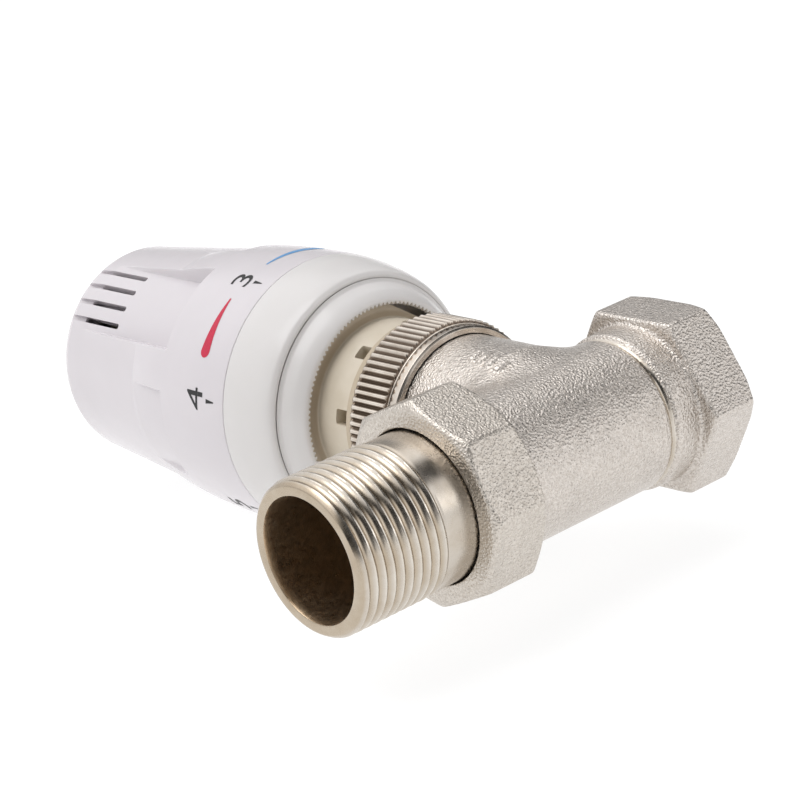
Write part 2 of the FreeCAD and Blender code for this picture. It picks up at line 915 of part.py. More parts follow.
def make_spindle():
    return head_turned(
        "spindle",
        [
            ("0", "spindle_bottom"),
            ("spindle_radius - 0.2", "spindle_bottom"),
            ("spindle_radius", "spindle_bottom + 0.2"),
            ("spindle_radius", "clip_bottom"),
            ("spindle_radius - 0.4", "clip_bottom"),
            ("spindle_radius - 0.4", "clip_top"),
            ("spindle_radius", "clip_top"),
            ("spindle_radius", "spindle_top - 0.3"),
            ("spindle_radius - 0.3", "spindle_top"),
            ("0", "spindle_top"),
        ],
    )


def make_push_pin():
    return head_turned(
        "push_pin",
        [
            ("0", "spindle_top"),
            ("push_pin_radius", "spindle_top"),
            ("push_pin_radius", "push_pin_head_bottom"),
            ("push_pin_head_radius", "push_pin_head_bottom"),
            ("push_pin_head_radius", "push_pin_top"),
            ("0", "push_pin_top"),
        ],
    )


def make_gland_nut():
    bore = "spindle_radius + spindle_clearance"
    return head_turned(
        "gland_nut",
        [
            (bore, "gland_bottom"),
            ("packing_radius - 0.05", "gland_bottom"),
            ("packing_radius - 0.05", "insert_head_top"),
            ("gland_flange_radius", "insert_head_top"),
            ("gland_flange_radius", "gland_top"),
            (bore, "gland_top"),
        ],
    )


def make_rings():
    """The plain rings and discs, each as inner radius, outer radius, bottom and top."""
    sizes = {
        "spring_seat": (
            "spindle_radius + 0.1",
            "insert_cavity_radius",
            "spring_seat_bottom",
            "spring_seat_top",
        ),
        "spindle_clip": ("spindle_radius - 0.4", "clip_radius", "clip_bottom", "clip_top"),
        "disc_washer": ("spindle_radius", "washer_radius", "washer_bottom", "washer_top"),
        "disc_holder": ("spindle_radius", "holder_radius", "washer_top", "holder_top"),
        "disc_retainer": (
            "spindle_radius",
            "retainer_radius",
            "retainer_bottom",
            "washer_bottom",
        ),
        "capsule_clip": (
            "ring_clip_inner_radius",
            "carrier_inner_radius",
            "ring_clip_bottom",
            "ring_clip_top",
        ),
    }
    return [ring(name, *numbers) for name, numbers in sizes.items()]


def make_union_seal():
    end = "spigot_end + seal_thickness"
    return pipe_turned(
        "union_seal",
        [
            ("spigot_end", "tail_bore_radius"),
            ("spigot_end", "seal_outer_radius"),
            (end, "seal_outer_radius"),
            (end, "tail_bore_radius"),
        ],
    )


def make_orings():
    insert_ring = oring(
        "insert_oring",
        "insert_radius - oring_wire / 2 + 0.05",
        "oring_wire / 2",
        "oring_groove_bottom + oring_wire",
    )
    spindle_ring = oring(
        "spindle_oring",
        "(spindle_radius + packing_radius) / 2",
        "packing_ring_wire",
        "(packing_bottom + gland_bottom) / 2",
    )
    return [insert_ring, spindle_ring]


def make_springs():
    return_spring = coil(
        "return_spring",
        "return_spring_radius",
        "return_spring_wire",
        "return_spring_turns",
        "spring_seat_top + spring_play",
        "clip_bottom - spring_play",
    )
    overtravel_spring = coil(
        "overtravel_spring",
        "overtravel_radius",
        "overtravel_wire",
        "overtravel_turns",
        "capsule_top + spring_play",
        "carrier_cap - spring_play",
    )
    return [return_spring, overtravel_spring]


def make_sensor_pin():
    return head_cylinder("sensor_pin", "sensor_pin_radius", "push_pin_top", "sensor_pin_top")


def check_and_write():
    os.makedirs(OUT, exist_ok=True)
    doc.recompute()
    for item in doc.Objects:
        if {"Invalid", "Error"} & set(item.State):
            raise RuntimeError(f"{item.Label} failed: {item.State}")
    for node in nodes:
        shape = node.Shape
        if shape.isNull() or not shape.isValid() or not shape.Solids:
            raise RuntimeError(f"{node.Label} has no valid solid")
        shape.exportStep(os.path.join(OUT, f"{node.Label}.step"))


def main():
    singles = {
        "valve_body": make_valve_body,
        "tailpiece": make_tailpiece,
        "union_nut": make_union_nut,
        "union_seal": make_union_seal,
        "insert_body": make_insert,
        "gland_nut": make_gland_nut,
        "spindle": make_spindle,
        "head_nut": make_head_nut,
        "head_base": make_head_base,
        "serrated_ring": make_serrated_ring,
        "index_ring": make_index_ring,
        "handwheel": make_handwheel,
        "sensor_carrier": make_carrier,
        "sensor_capsule": make_capsule,
        "sensor_pin": make_sensor_pin,
        "push_pin": make_push_pin,
    }
    for label, make in singles.items():
        name_node(make(), label)
    for item in [*make_rings(), *make_orings(), *make_springs()]:
        name_node(item, item.Name)
    check_and_write()


main()
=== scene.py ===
"""Looks of the thermostatic radiator valve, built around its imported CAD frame.

Lengths are in millimetres until to_object() scales them to the metres that Blender uses. The row
frame's origin is the pipe-side end face, +X leaves the valve there, +Y runs along the head axis
towards the closed end of the handwheel, and +Z is up.
"""
import math

import bmesh
import bpy
import numpy as np
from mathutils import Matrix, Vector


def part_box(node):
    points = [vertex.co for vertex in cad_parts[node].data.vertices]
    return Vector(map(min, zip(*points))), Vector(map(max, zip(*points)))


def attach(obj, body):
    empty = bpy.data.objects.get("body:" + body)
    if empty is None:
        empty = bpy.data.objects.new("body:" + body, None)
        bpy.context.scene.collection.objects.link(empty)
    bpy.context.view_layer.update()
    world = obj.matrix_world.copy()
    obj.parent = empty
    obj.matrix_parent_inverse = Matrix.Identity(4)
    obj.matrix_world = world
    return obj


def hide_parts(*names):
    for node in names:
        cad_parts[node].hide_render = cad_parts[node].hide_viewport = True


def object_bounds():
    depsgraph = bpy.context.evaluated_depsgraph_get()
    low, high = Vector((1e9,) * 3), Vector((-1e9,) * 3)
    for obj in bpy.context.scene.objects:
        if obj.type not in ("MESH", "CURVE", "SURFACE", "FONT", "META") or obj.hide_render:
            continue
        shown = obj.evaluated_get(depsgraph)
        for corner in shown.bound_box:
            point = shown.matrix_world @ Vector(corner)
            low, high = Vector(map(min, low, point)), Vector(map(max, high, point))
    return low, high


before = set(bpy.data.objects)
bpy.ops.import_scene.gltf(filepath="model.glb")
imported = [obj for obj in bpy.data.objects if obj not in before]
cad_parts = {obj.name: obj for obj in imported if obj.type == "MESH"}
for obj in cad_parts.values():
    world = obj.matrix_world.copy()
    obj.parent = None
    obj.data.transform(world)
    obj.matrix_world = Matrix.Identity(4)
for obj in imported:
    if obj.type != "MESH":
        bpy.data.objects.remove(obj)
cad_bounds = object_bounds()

import openvdb
from mathutils import Matrix, Vector

MM = 0.001


# ---------------------------------------------------------------- sizes read from the frame
def extent(node, axis):
    """Lowest and highest place of a CAD node along an axis, in millimetres."""
    low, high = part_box(node)
    return low[axis] / MM, high[axis] / MM


def pipe_extent(node):
    """Nearest and farthest distance of a CAD node from the pipe socket's face, in millimetres."""
    low, high = extent(node, 0)
    return -high, -low


HEAD_X = sum(extent("handwheel", 0)) / 2
SEAM_LOW, WHEEL_END = extent("handwheel", 1)
TAIL_COLLAR, TAIL_END = pipe_extent("tailpiece")
COLLAR_RADIUS = extent("tailpiece", 2)[1]
NUT_NEAR, NUT_FAR = pipe_extent("union_nut")
SPIGOT_END = pipe_extent("valve_body")[1]
NECK_END = extent("valve_body", 1)[1]
KNURL_RADIUS = extent("head_nut", 2)[1]
HEAD_NUT_LOW, HEAD_NUT_HIGH = extent("head_nut", 1)
BASE_LOW, BASE_TOP = extent("head_base", 1)
BASE_RIM = extent("head_base", 2)[1]
LIMIT_LOW, LIMIT_HIGH = extent("serrated_ring", 1)
FLOOR = cad_bounds[0][2]

# ---------------------------------------------------------------- sizes of the looks
# pipe thread
PITCH = 1.814
THREAD_MAJOR = 13.22
THREAD_MINOR = 12.06
THREAD_ROOT = 12.68
# valve body and its passages
NECK_FOOT_RADIUS = 10.4
NECK_RADIUS = 15.3
NECK_TOP = 22.15
BARREL_RADIUS = 13.4
BARREL_END = 48.8
HEX_FLATS = 30.3
HEX_LENGTH = 10.2
GROOVE_AT = 16.3
UNION_THREAD_RADIUS = 14.5
UNION_THREAD_START = 47.9
SOCKET_DEPTH = 14.5
PASSAGE_RADIUS = 9.3
UNDER_SEAT_RADIUS = 3.4
SEAT_RADIUS = 6.5
CHAMBER_RADIUS = 10.4
CHAMBER_FLOOR = 5.2
PAD_PITCH = 2.3
PAD_ROW_CENTRE = 9.0
# union nut and tail
NUT_FLATS = 33.2
NUT_BORE = 13.3
NUT_SHOULDER = 2.8
TAIL_BORE = 10.55
TAIL_NECK = 13.0
THREAD_START = 66.4
# knurled nut
KNURLS = 78
KNURL_START = 23.8
KNURL_DEPTH = 0.6
LIP_RADIUS = 16.75
HEAD_NUT_BORE = 12.6
HEAD_NUT_THREAD = 14.6
# base and rings
HUB_RADIUS = 15.4
WINDOWS = 8
CAGE_SLOTS = 4
SERRATIONS = 120
SEAM_HIGH = SEAM_LOW - 0.04
RIM_RADIUS = 24.93
# handwheel: heights and radii where its skirt, shoulder and crown begin and end
SHOULDER, CROWN, CROWN_END = 76.0, 88.0, 112.5
SKIRT_RADIUS, SHOULDER_RADIUS, CROWN_RADIUS, CROWN_END_RADIUS = 24.95, 24.35, 22.4, 19.95
SKIRT_RISE, SHOULDER_RISE = 0.262, 0.231
RECESSES = 3
RECESS_HALF = 20.6
RECESS_EDGE = 1.3
POCKET_CENTRE = 128.6
POCKET_START = 76.5
POCKET_RADIUS = 20.35
PANEL_START = 77.0
PANEL_RADIUS = 23.45
PANEL_TAPER = 0.0908
VENTS = 4
VENT_STEP = 10.0
VENT_WIDTH = 1.05
# printed dial
DIAL_FIRST = -50.6
DIAL_STEP = 54.3
DIGIT_AT = 65.8
WEDGE_AT = 61.4
LONG_MARK_AT = 64.7
INK_PROUD = 0.035
# steps of a fillet's arc, and the points that it puts in a corner's place
ARC_STEPS = 4
CORNER_POINTS = ARC_STEPS + 1


# ---------------------------------------------------------------- mesh building
def to_object(name, points, faces, body, nodes, slot, smooth_angle):
    """A mesh piece from points in millimetres; it rides on a body and stands for the CAD nodes."""
    mesh = bpy.data.meshes.new(name)
    mesh.from_pydata([tuple(p) for p in np.asarray(points, float) * MM], [], faces)
    mesh.validate()
    piece = bpy.data.objects.new(name, mesh)
    bpy.context.scene.collection.objects.link(piece)
    finish_mesh(piece, smooth_angle)
    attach(piece, body)
    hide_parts(*nodes)
    return piece


def finish_mesh(piece, smooth_angle):
    """Merges doubles, turns the faces outwards and shades them smooth up to an angle."""
    work = bmesh.new()
    work.from_mesh(piece.data)
    bmesh.ops.remove_doubles(work, verts=work.verts, dist=1e-6)
    bmesh.ops.recalc_face_normals(work, faces=work.faces)
    work.to_mesh(piece.data)
    work.free()
    piece.data.shade_smooth()
    piece.data.set_sharp_from_angle(angle=math.radians(smooth_angle))


def arc_corner(before, corner, after, radius):
    """Points of a fillet of that radius at a corner of a flat outline."""
    a = np.subtract(before, corner)
    b = np.subtract(after, corner)
    la, lb = np.linalg.norm(a), np.linalg.norm(b)
    a, b = a / la, b / lb
    half = math.acos(max(-1.0, min(1.0, float(a @ b)))) / 2
    if half < 0.05 or half > 1.52:
        return [tuple(corner)]
    reach = min(radius / math.tan(half), 0.45 * la, 0.45 * lb)
    radius = reach * math.tan(half)
    middle = (a + b) / np.linalg.norm(a + b)
    centre = corner + middle * (radius / math.sin(half))
    first = corner + a * reach - centre
    last = corner + b * reach - centre
    turn = math.pi - 2 * half
    points = []
    for i in range(ARC_STEPS + 1):
        t = i / ARC_STEPS
        mix = (math.sin((1 - t) * turn) * first + math.sin(t * turn) * last) / math.sin(turn)
        points.append(tuple(centre + mix))
    return points


def rounded(outline, radius):
    """A closed outline with every corner filleted; a corner (x, y, r) has a radius of its own."""
    points = []
    count = len(outline)
    for i, corner in enumerate(outline):
        own = corner[2] if len(corner) > 2 else radius
        before = np.array(outline[i - 1][:2], float)
        after = np.array(outline[(i + 1) % count][:2], float)
        points += arc_corner(before, np.array(corner[:2], float), after, own)
    return points


def revolve(outline, axis, segments):
    """Points and faces of a closed outline of (along, radius) turned about the pipe or head axis."""
    count = len(outline)
    points = []
    for i in range(segments):
        angle = 2 * math.pi * i / segments
        c, s = math.cos(angle), math.sin(angle)
        for along, radius in outline:
            points.append(place(axis, along, radius * c, radius * s))
    faces = []
    for i in range(segments):
        j = (i + 1) % segments
        for k in range(count):
            m = (k + 1) % count
            faces.append((i * count + k, i * count + m, j * count + m, j * count + k))
    return points, faces


def place(axis, along, across, up):
    """A point from its distance along an axis and its two offsets from it."""
    if axis == "pipe":
        return -along, across, up
    return HEAD_X + across, along, up


def smooth_curve(knots, steps):
    """Points of a smooth curve through (along, radius) knots."""
    knots = np.array([knots[0], *knots, knots[-1]], float)
    points = []
    for a, b, c, d in zip(knots, knots[1:], knots[2:], knots[3:]):
        for t in np.arange(steps) / steps:
            points.append(tuple(0.5 * (2 * b + (c - a) * t + (2 * a - 5 * b + 4 * c - d) * t**2
                                       + (3 * b - 3 * c + d - a) * t**3)))
    points.append(tuple(knots[-1]))
    return points


def ring_angles(count):
    return 2 * np.pi * np.arange(count) / count


def cylinder_grid(rows, axis, angles):
    """Points and faces of a closed loop of (along, radius) rows; a radius is one number or one an angle."""
    points = []
    for along, radius in rows:
        across, up = radius * np.cos(angles), radius * np.sin(angles)
        points += [place(axis, along, a, u) for a, u in zip(across, up)]
    count = len(angles)
    faces = []
    for i in range(len(rows)):
        j = (i + 1) % len(rows)
        for k in range(count):
            m = (k + 1) % count
            faces.append((i * count + k, i * count + m, j * count + m, j * count + k))
    return points, faces


def subtract(piece, cutter):
    """piece less cutter; the cutter is then removed."""
    modifier = piece.modifiers.new("cut", "BOOLEAN")
    modifier.operation = "DIFFERENCE"
    modifier.solver = "MANIFOLD"
    modifier.object = cutter
    depsgraph = bpy.context.evaluated_depsgraph_get()
    result = bpy.data.meshes.new_from_object(piece.evaluated_get(depsgraph))
    piece.modifiers.remove(modifier)
    old = piece.data
    piece.data = result
    result.name = old.name
    bpy.data.objects.remove(cutter)


def helper(name, parts):
    """A cutting shape that isn't kept."""
    mesh = bpy.data.meshes.new(name)
    points, faces = parts
    mesh.from_pydata([tuple(p) for p in np.asarray(points, float) * MM], [], faces)
    item = bpy.data.objects.new(name, mesh)
    bpy.context.scene.collection.objects.link(item)
    finish_mesh(item, 30.0)
    return item


def ease(level):
    """A level clipped to 0 to 1, with a gentle start and end."""
    level = np.clip(level, 0.0, 1.0)
    return level * level * (3 - 2 * level)


# ---------------------------------------------------------------- solid fields for cast shapes
def soft_min(a, b, k):
    """The smaller of two distances, with a fillet about k wide where they meet."""
    mix = np.clip(0.5 + 0.5 * (b - a) / k, 0.0, 1.0)
    return b + (a - b) * mix - k * mix * (1.0 - mix)


def soft_max(a, b, k):
    return -soft_min(-a, -b, k)


def field_mesh(low, high, voxel, field):
    """Points and faces of the surface where a distance field, in millimetres, is zero."""
    low = np.asarray(low, float)
    count = np.ceil((np.asarray(high) - low) / voxel).astype(int) + 1
    axes = [low[i] + voxel * np.arange(count[i]) for i in range(3)]
    x, y, z = np.meshgrid(*axes, indexing="ij", sparse=True)
    grid = openvdb.FloatGrid(100.0)
    grid.copyFromArray(np.ascontiguousarray(field(x, y, z), dtype=np.float32))
    points, quads = grid.convertToQuads(isovalue=0.0)
    return points * voxel + low, [tuple(int(v) for v in quad) for quad in quads]


def prism_field(y, z, sides, flats, first):
    """Distance to a regular prism on the pipe axis; first is the angle of a flat's normal."""
    result = None
    for i in range(sides):
        angle = first + 2 * math.pi * i / sides
        plane = y * math.cos(angle) + z * math.sin(angle) - flats / 2
        result = plane if result is None else soft_max(result, plane, 0.35)
    return result


def cone_field(distance, radius, at, face_radius, slope):
    """Chamfer that leaves face_radius at distance at, and widens by slope along distance."""
    return (radius - face_radius - slope * (distance - at)) / math.hypot(1.0, slope)


def body_field(x, y, z):
    """Casting: hexagon, grooved barrel, union spigot, flared neck and its threaded end."""
    rho = np.sqrt(y * y + z * z) + 0 * x
    far = -x
    groove = 0.55 * np.exp(-(((far - GROOVE_AT) / 0.5) ** 2))
    step = 0.5 / (1.0 + np.exp((far - 15.7) / 0.12))
    barrel = rho - (BARREL_RADIUS + step - groove)
    barrel = soft_max(barrel, far - BARREL_END, 0.4)
    barrel = soft_max(barrel, HEX_LENGTH - 3 - far, 0.4)
    spigot = np.maximum(rho - UNION_THREAD_RADIUS, np.maximum(far - SPIGOT_END, UNION_THREAD_START - far))
    hexagon = prism_field(y, z, 6, HEX_FLATS, math.pi / 6) + 0 * x
    hexagon = soft_max(hexagon, cone_field(far, rho, 0.0, 15.7, 1.7), 0.3)
    hexagon = soft_max(hexagon, cone_field(HEX_LENGTH - far, rho, 0.0, 16.6, 1.6), 0.5)
    hexagon = soft_max(hexagon, -far, 0.25)
    hexagon = soft_max(hexagon, far - HEX_LENGTH, 0.7)
    across = np.sqrt((x - HEAD_X) ** 2 + z * z) + 0 * y
    flare = np.clip(y / 6.5, 0.0, 1.0)
    neck = across - (NECK_FOOT_RADIUS + (NECK_RADIUS - NECK_FOOT_RADIUS) * np.sqrt(flare))
    neck = soft_max(neck, -y, 1.0)
    neck = soft_max(neck, y - NECK_TOP, 0.5)
    thread = np.maximum(across - UNION_THREAD_RADIUS, np.maximum(y - NECK_END, NECK_TOP - 1 - y))
    body = soft_min(barrel, hexagon, 0.9)
    body = soft_min(body, neck, 3.2)
    body = np.minimum(body, raised_pads(x, y, z, body))
    return np.minimum(np.minimum(body, spigot), thread)


def raised_pads(x, y, z, body):
    """A row of plain raised pads on the upper side, where neck and barrel meet."""
    row_half = 2 * PAD_PITCH
    from_middle = y - PAD_ROW_CENTRE
    pad = np.abs(np.mod(from_middle + row_half, PAD_PITCH) - PAD_PITCH / 2) - 0.72
    along = np.maximum(pad, np.abs(from_middle) - row_half)
    outline = np.maximum(along, np.abs(x - (HEAD_X - 4.2) - 0.12 * from_middle) - 1.45)
    return soft_max(soft_max(outline + 0 * z, body - 0.5, 0.25), -z + 0 * body, 0.3)


def nut_field(x, y, z):
    """Union nut: eight chamfered flats, a bore for the tail and a counterbore for the spigot."""
    rho = np.sqrt(y * y + z * z) + 0 * x
    far = -x
    nut = prism_field(y, z, 8, NUT_FLATS, math.pi / 8) + 0 * x
    nut = soft_max(nut, cone_field(far, rho, NUT_NEAR, 16.3, 1.5), 0.25)
    nut = soft_max(nut, cone_field(-far, rho, -NUT_FAR, 16.3, 1.5), 0.25)
    nut = soft_max(nut, NUT_NEAR - far, 0.25)
    nut = soft_max(nut, far - NUT_FAR, 0.25)
    nut = soft_max(nut, NUT_BORE - rho, 0.2)
    counterbore = np.maximum(rho - (UNION_THREAD_RADIUS + 0.1), far - (NUT_FAR - NUT_SHOULDER))
    return soft_max(nut, -counterbore, 0.15)


# ---------------------------------------------------------------- materials
WHITE = (1.0, 1.0, 1.0)


class Surface:
    """A Principled material and the few node chains that the surfaces here share."""

    def __init__(self, name, colour, roughness, metallic=0.0):
        self.material = bpy.data.materials.new(name)
        self.material.use_nodes = True
        self.tree = self.material.node_tree
        self.shader = self.tree.nodes["Principled BSDF"]
        self.shader.inputs["Base Color"].default_value = (*colour, 1.0)
        self.shader.inputs["Roughness"].default_value = roughness
        self.shader.inputs["Metallic"].default_value = metallic
        self.where = self.node("ShaderNodeTexCoord").outputs["Object"]
        self.height = None

    def node(self, kind, **settings):
        node = self.tree.nodes.new(kind)
        for key, setting in settings.items():
            if hasattr(node, key):
                setattr(node, key, setting)
            else:
                node.inputs[key].default_value = setting
        return node

    def link(self, a, b):
        self.tree.links.new(a, b)

    def noise(self, size, detail, rough=0.5, stretch=(1, 1, 1), distortion=0.0):
        """Noise whose features are about size millimetres across."""
        mapping = self.node("ShaderNodeMapping")
        mapping.inputs["Scale"].default_value = stretch
        self.link(self.where, mapping.inputs["Vector"])
        noise = self.node("ShaderNodeTexNoise")
        noise.inputs["Scale"].default_value = 1.0 / (size * MM)
        noise.inputs["Detail"].default_value = detail
        noise.inputs["Roughness"].default_value = rough
        noise.inputs["Distortion"].default_value = distortion
        self.link(mapping.outputs["Vector"], noise.inputs["Vector"])
        return noise.outputs["Fac"]

    def from_axis(self, axis, low, high):
        """A level from 0 to 1 between two distances, in millimetres, from the head or pipe axis."""
        shift = self.node("ShaderNodeVectorMath", operation="SUBTRACT")
        shift.inputs[1].default_value = (HEAD_X * MM, 0.0, 0.0)
        flat = self.node("ShaderNodeVectorMath", operation="MULTIPLY")
        flat.inputs[1].default_value = (1.0, 0.0, 1.0) if axis == "head" else (0.0, 1.0, 1.0)
        length = self.node("ShaderNodeVectorMath", operation="LENGTH")
        span = self.node("ShaderNodeMapRange")
        span.inputs["From Min"].default_value = low * MM
        span.inputs["From Max"].default_value = high * MM
        self.link(self.where, shift.inputs[0])
        self.link(shift.outputs["Vector"], flat.inputs[0])
        self.link(flat.outputs["Vector"], length.inputs[0])
        self.link(length.outputs["Value"], span.inputs["Value"])
        return span.outputs["Result"]

    def grains(self, size):
        """Rounded grains about size millimetres across."""
        grains = self.node("ShaderNodeTexVoronoi", feature="SMOOTH_F1")
        grains.inputs["Scale"].default_value = 1.0 / (size * MM)
        grains.inputs["Smoothness"].default_value = 0.6
        self.link(self.where, grains.inputs["Vector"])
        return grains.outputs["Distance"]

    def ramp(self, value, stops):
        """value turned into a colour or a grey through (place, colour) stops."""
        ramp = self.node("ShaderNodeValToRGB")
        ramp.color_ramp.elements.remove(ramp.color_ramp.elements[1])
        for i, (at, colour) in enumerate(stops):
            element = ramp.color_ramp.elements[0] if i == 0 else ramp.color_ramp.elements.new(at)
            element.position = at
            element.color = (*colour, 1.0)
        self.link(value, ramp.inputs["Fac"])
        return ramp.outputs["Color"]

    def multiply(self, a, b):
        mix = self.node("ShaderNodeMix", data_type="RGBA", blend_type="MULTIPLY")
        mix.inputs["Factor"].default_value = 1.0
        self.link(a, mix.inputs["A"])
        self.link(b, mix.inputs["B"])
        return mix.outputs["Result"]

    def colour(self, output):
        self.link(output, self.shader.inputs["Base Color"])

    def roughness(self, value, low, high):
        """Roughness between low and high as a noise value varies."""
        span = self.node("ShaderNodeMapRange")
        span.inputs["To Min"].default_value = low
        span.inputs["To Max"].default_value = high
        span.inputs["From Min"].default_value = 0.3
        span.inputs["From Max"].default_value = 0.7
        self.link(value, span.inputs["Value"])
        self.link(span.outputs["Result"], self.shader.inputs["Roughness"])

    def bump(self, height, depth, strength=1.0):
        """Adds relief depth millimetres deep; calls add up."""
        bump = self.node("ShaderNodeBump")
        bump.inputs["Strength"].default_value = strength
        bump.inputs["Distance"].default_value = depth * MM
        self.link(height, bump.inputs["Height"])
        if self.height is not None:
            self.link(self.height, bump.inputs["Normal"])
        self.height = bump.outputs["Normal"]
        self.link(self.height, self.shader.inputs["Normal"])

    def set(self, socket, value):
        self.shader.inputs[socket].default_value = value
        return self


def cast_nickel(name, grain, depth, tint):
    """Satin plating over a sand-cast skin: bright grains, dull pits and slow changes of tone."""
    s = Surface(name, tint, 0.36, 1.0)
    patches = s.ramp(s.noise(6.0, 4.0, 0.6), [(0.3, [c * 0.92 for c in tint]), (0.7, tint)])
    speckle = s.ramp(s.noise(grain * 1.1, 3.0, 0.6), [(0.36, (0.82, 0.80, 0.78)), (0.60, WHITE)])
    s.colour(s.multiply(patches, speckle))
    s.roughness(s.noise(grain * 1.6, 4.0, 0.6), 0.22, 0.40)
    s.bump(s.noise(2.6, 3.0, 0.5), depth * 0.8, 0.6)
    s.bump(s.grains(grain), depth * 1.3, 1.0)
    s.bump(s.noise(grain * 0.8, 3.0, 0.6), depth * 0.9, 1.0)
    return s.material


def turned_nickel():
    """Machined nickel plating, stained in patches, with painted shade darkening and browning the thread's
    hollows and fading out towards its crests.
    """
    tint = (0.71, 0.665, 0.60)
    s = Surface("turned_nickel", tint, 0.24, 1.0)
    stains = s.noise(5.0, 5.0, 0.6, distortion=0.4)
    # painted shade: darker and browner towards the thread's hollows, full tint at its crests
    thread_shade = s.ramp(s.from_axis("pipe", 12.65, THREAD_MAJOR),
                  [(0.05, (0.72, 0.66, 0.58)), (0.55, (0.84, 0.82, 0.80)),
                   (0.70, (0.86, 0.84, 0.82)), (1.0, WHITE)])
    stained = s.ramp(stains, [(0.35, (0.63, 0.57, 0.49)), (0.62, tint)])
    s.colour(s.multiply(stained, thread_shade))
    s.roughness(s.noise(2.2, 6.0, 0.65), 0.20, 0.31)
    rings = s.noise(0.35, 3.0, 0.6, stretch=(1.0, 0.03, 0.03))
    s.bump(rings, 0.010, 0.5)
    s.bump(s.noise(3.0, 2.0), 0.02, 0.25)
    return s.material


def knurled_nickel():
    """Polished ridges, with painted shade darkening the valleys between them."""
    tint = (0.74, 0.68, 0.61)
    s = Surface("knurled_nickel", tint, 0.2, 1.0)
    stains = s.ramp(s.noise(3.5, 5.0, 0.6), [(0.3, (0.58, 0.51, 0.44)), (0.65, tint)])
    # painted shade: a dark colour laid over the knurl's valleys, set by their distance from the head axis
    dull = (0.24, 0.20, 0.17)
    valley = s.ramp(s.from_axis("head", 16.7, KNURL_RADIUS),
                    [(0.12, WHITE), (0.28, dull), (0.50, dull), (0.86, WHITE)])
    s.colour(s.multiply(stains, valley))
    s.roughness(s.noise(1.2, 5.0, 0.6), 0.14, 0.28)
    s.bump(s.noise(0.3, 3.0, 0.6, stretch=(1, 0.05, 1)), 0.008, 0.5)
    return s.material


def white_plastic(name, tint):
    """Glossy moulded plastic with a faint cloudiness and a little light passing under its skin."""
    s = Surface(name, tint, 0.22)
    darker, lighter = ([c * level for c in tint] for level in (0.98, 1.02))
    s.colour(s.ramp(s.noise(14.0, 3.0), [(0.3, darker), (0.7, lighter)]))
    s.roughness(s.noise(2.5, 6.0, 0.7), 0.17, 0.27)
    s.bump(s.noise(1.6, 2.0), 0.012, 0.18)
    s.bump(s.noise(0.18, 2.0), 0.003, 0.25)
    s.set("IOR", 1.5).set("Subsurface Weight", 0.12).set("Subsurface Scale", 0.0012)
    s.set("Subsurface Radius", (1.0, 0.9, 0.85))
    return s.material


def cream_plastic():
    """Matt cream plastic, with painted shade darkening the groove round the base's hub."""
    tint = (0.70, 0.625, 0.51)
    s = Surface("cream_plastic", tint, 0.42)
    cloud = s.noise(7.0, 4.0, 0.55)
    # painted shade: a darker, browner band in the groove round the hub, set by distance from the head axis
    groove = s.ramp(s.from_axis("head", HUB_RADIUS - 0.1, 19.0),
                    [(0.04, WHITE), (0.10, (0.72, 0.65, 0.56)), (0.80, WHITE)])
    cloudy = s.ramp(cloud, [(0.3, (0.64, 0.565, 0.45)), (0.7, (0.72, 0.65, 0.54))])
    s.colour(s.multiply(cloudy, groove))
    s.roughness(s.noise(1.5, 5.0, 0.6), 0.36, 0.50)
    s.bump(s.noise(0.5, 4.0, 0.6), 0.012, 0.35)
    return s.material


def plain_metal(name, tint, rough, size):
    """Bare metal with a cloudy tone; size is that of its finest relief in millimetres."""
    s = Surface(name, tint, rough, 1.0)
    tone = s.noise(size * 8, 4.0, 0.6)
    s.colour(s.ramp(tone, [(0.3, [c * 0.88 for c in tint]), (0.7, tint)]))
    s.roughness(s.noise(size * 2, 4.0, 0.6), rough * 0.8, rough * 1.3)
    s.bump(s.noise(size, 3.0, 0.6), 0.01, 0.4)
    return s.material


def seal_rubber():
    s = Surface("seal_rubber", (0.02, 0.02, 0.021), 0.6)
    s.colour(s.ramp(s.noise(1.5, 4.0), [(0.3, (0.015, 0.015, 0.016)), (0.7, (0.035, 0.035, 0.036))]))
    s.roughness(s.noise(0.6, 4.0), 0.5, 0.72)
    s.bump(s.noise(0.25, 4.0), 0.015, 0.5)
    return s.material


def dial_ink(name, tint):
    s = Surface(name, tint, 0.4)
    darker = [c * 0.85 for c in tint]
    s.colour(s.ramp(s.noise(0.7, 4.0), [(0.3, darker), (0.7, tint)]))
    s.roughness(s.noise(0.5, 4.0), 0.34, 0.5)
    s.bump(s.noise(0.15, 3.0), 0.004, 0.4)
    return s.material


# ---------------------------------------------------------------- metal pieces
def thread_radius(along, angle, start, outer, root, hollow):
    """Radius of a right-hand thread whose flanks are straight at a hollow of 1 and scooped above it."""
    half_crest = 0.075
    phase = ((along - start) / PITCH + angle / (2 * np.pi)) % 1.0
    away = np.minimum(phase, 1.0 - phase)
    t = np.clip((away - half_crest) / (0.5 - half_crest), 0.0, 1.0)
    return root + (outer - root) * (1.0 - t) ** hollow


def drill(piece, name, axis, start, end, radius, segments=96):
    """Cuts a round hole along an axis."""
    outline = [(start, 0.01), (start, radius), (end, radius), (end, 0.01)]
    subtract(piece, helper(name, revolve(outline, axis, segments)))


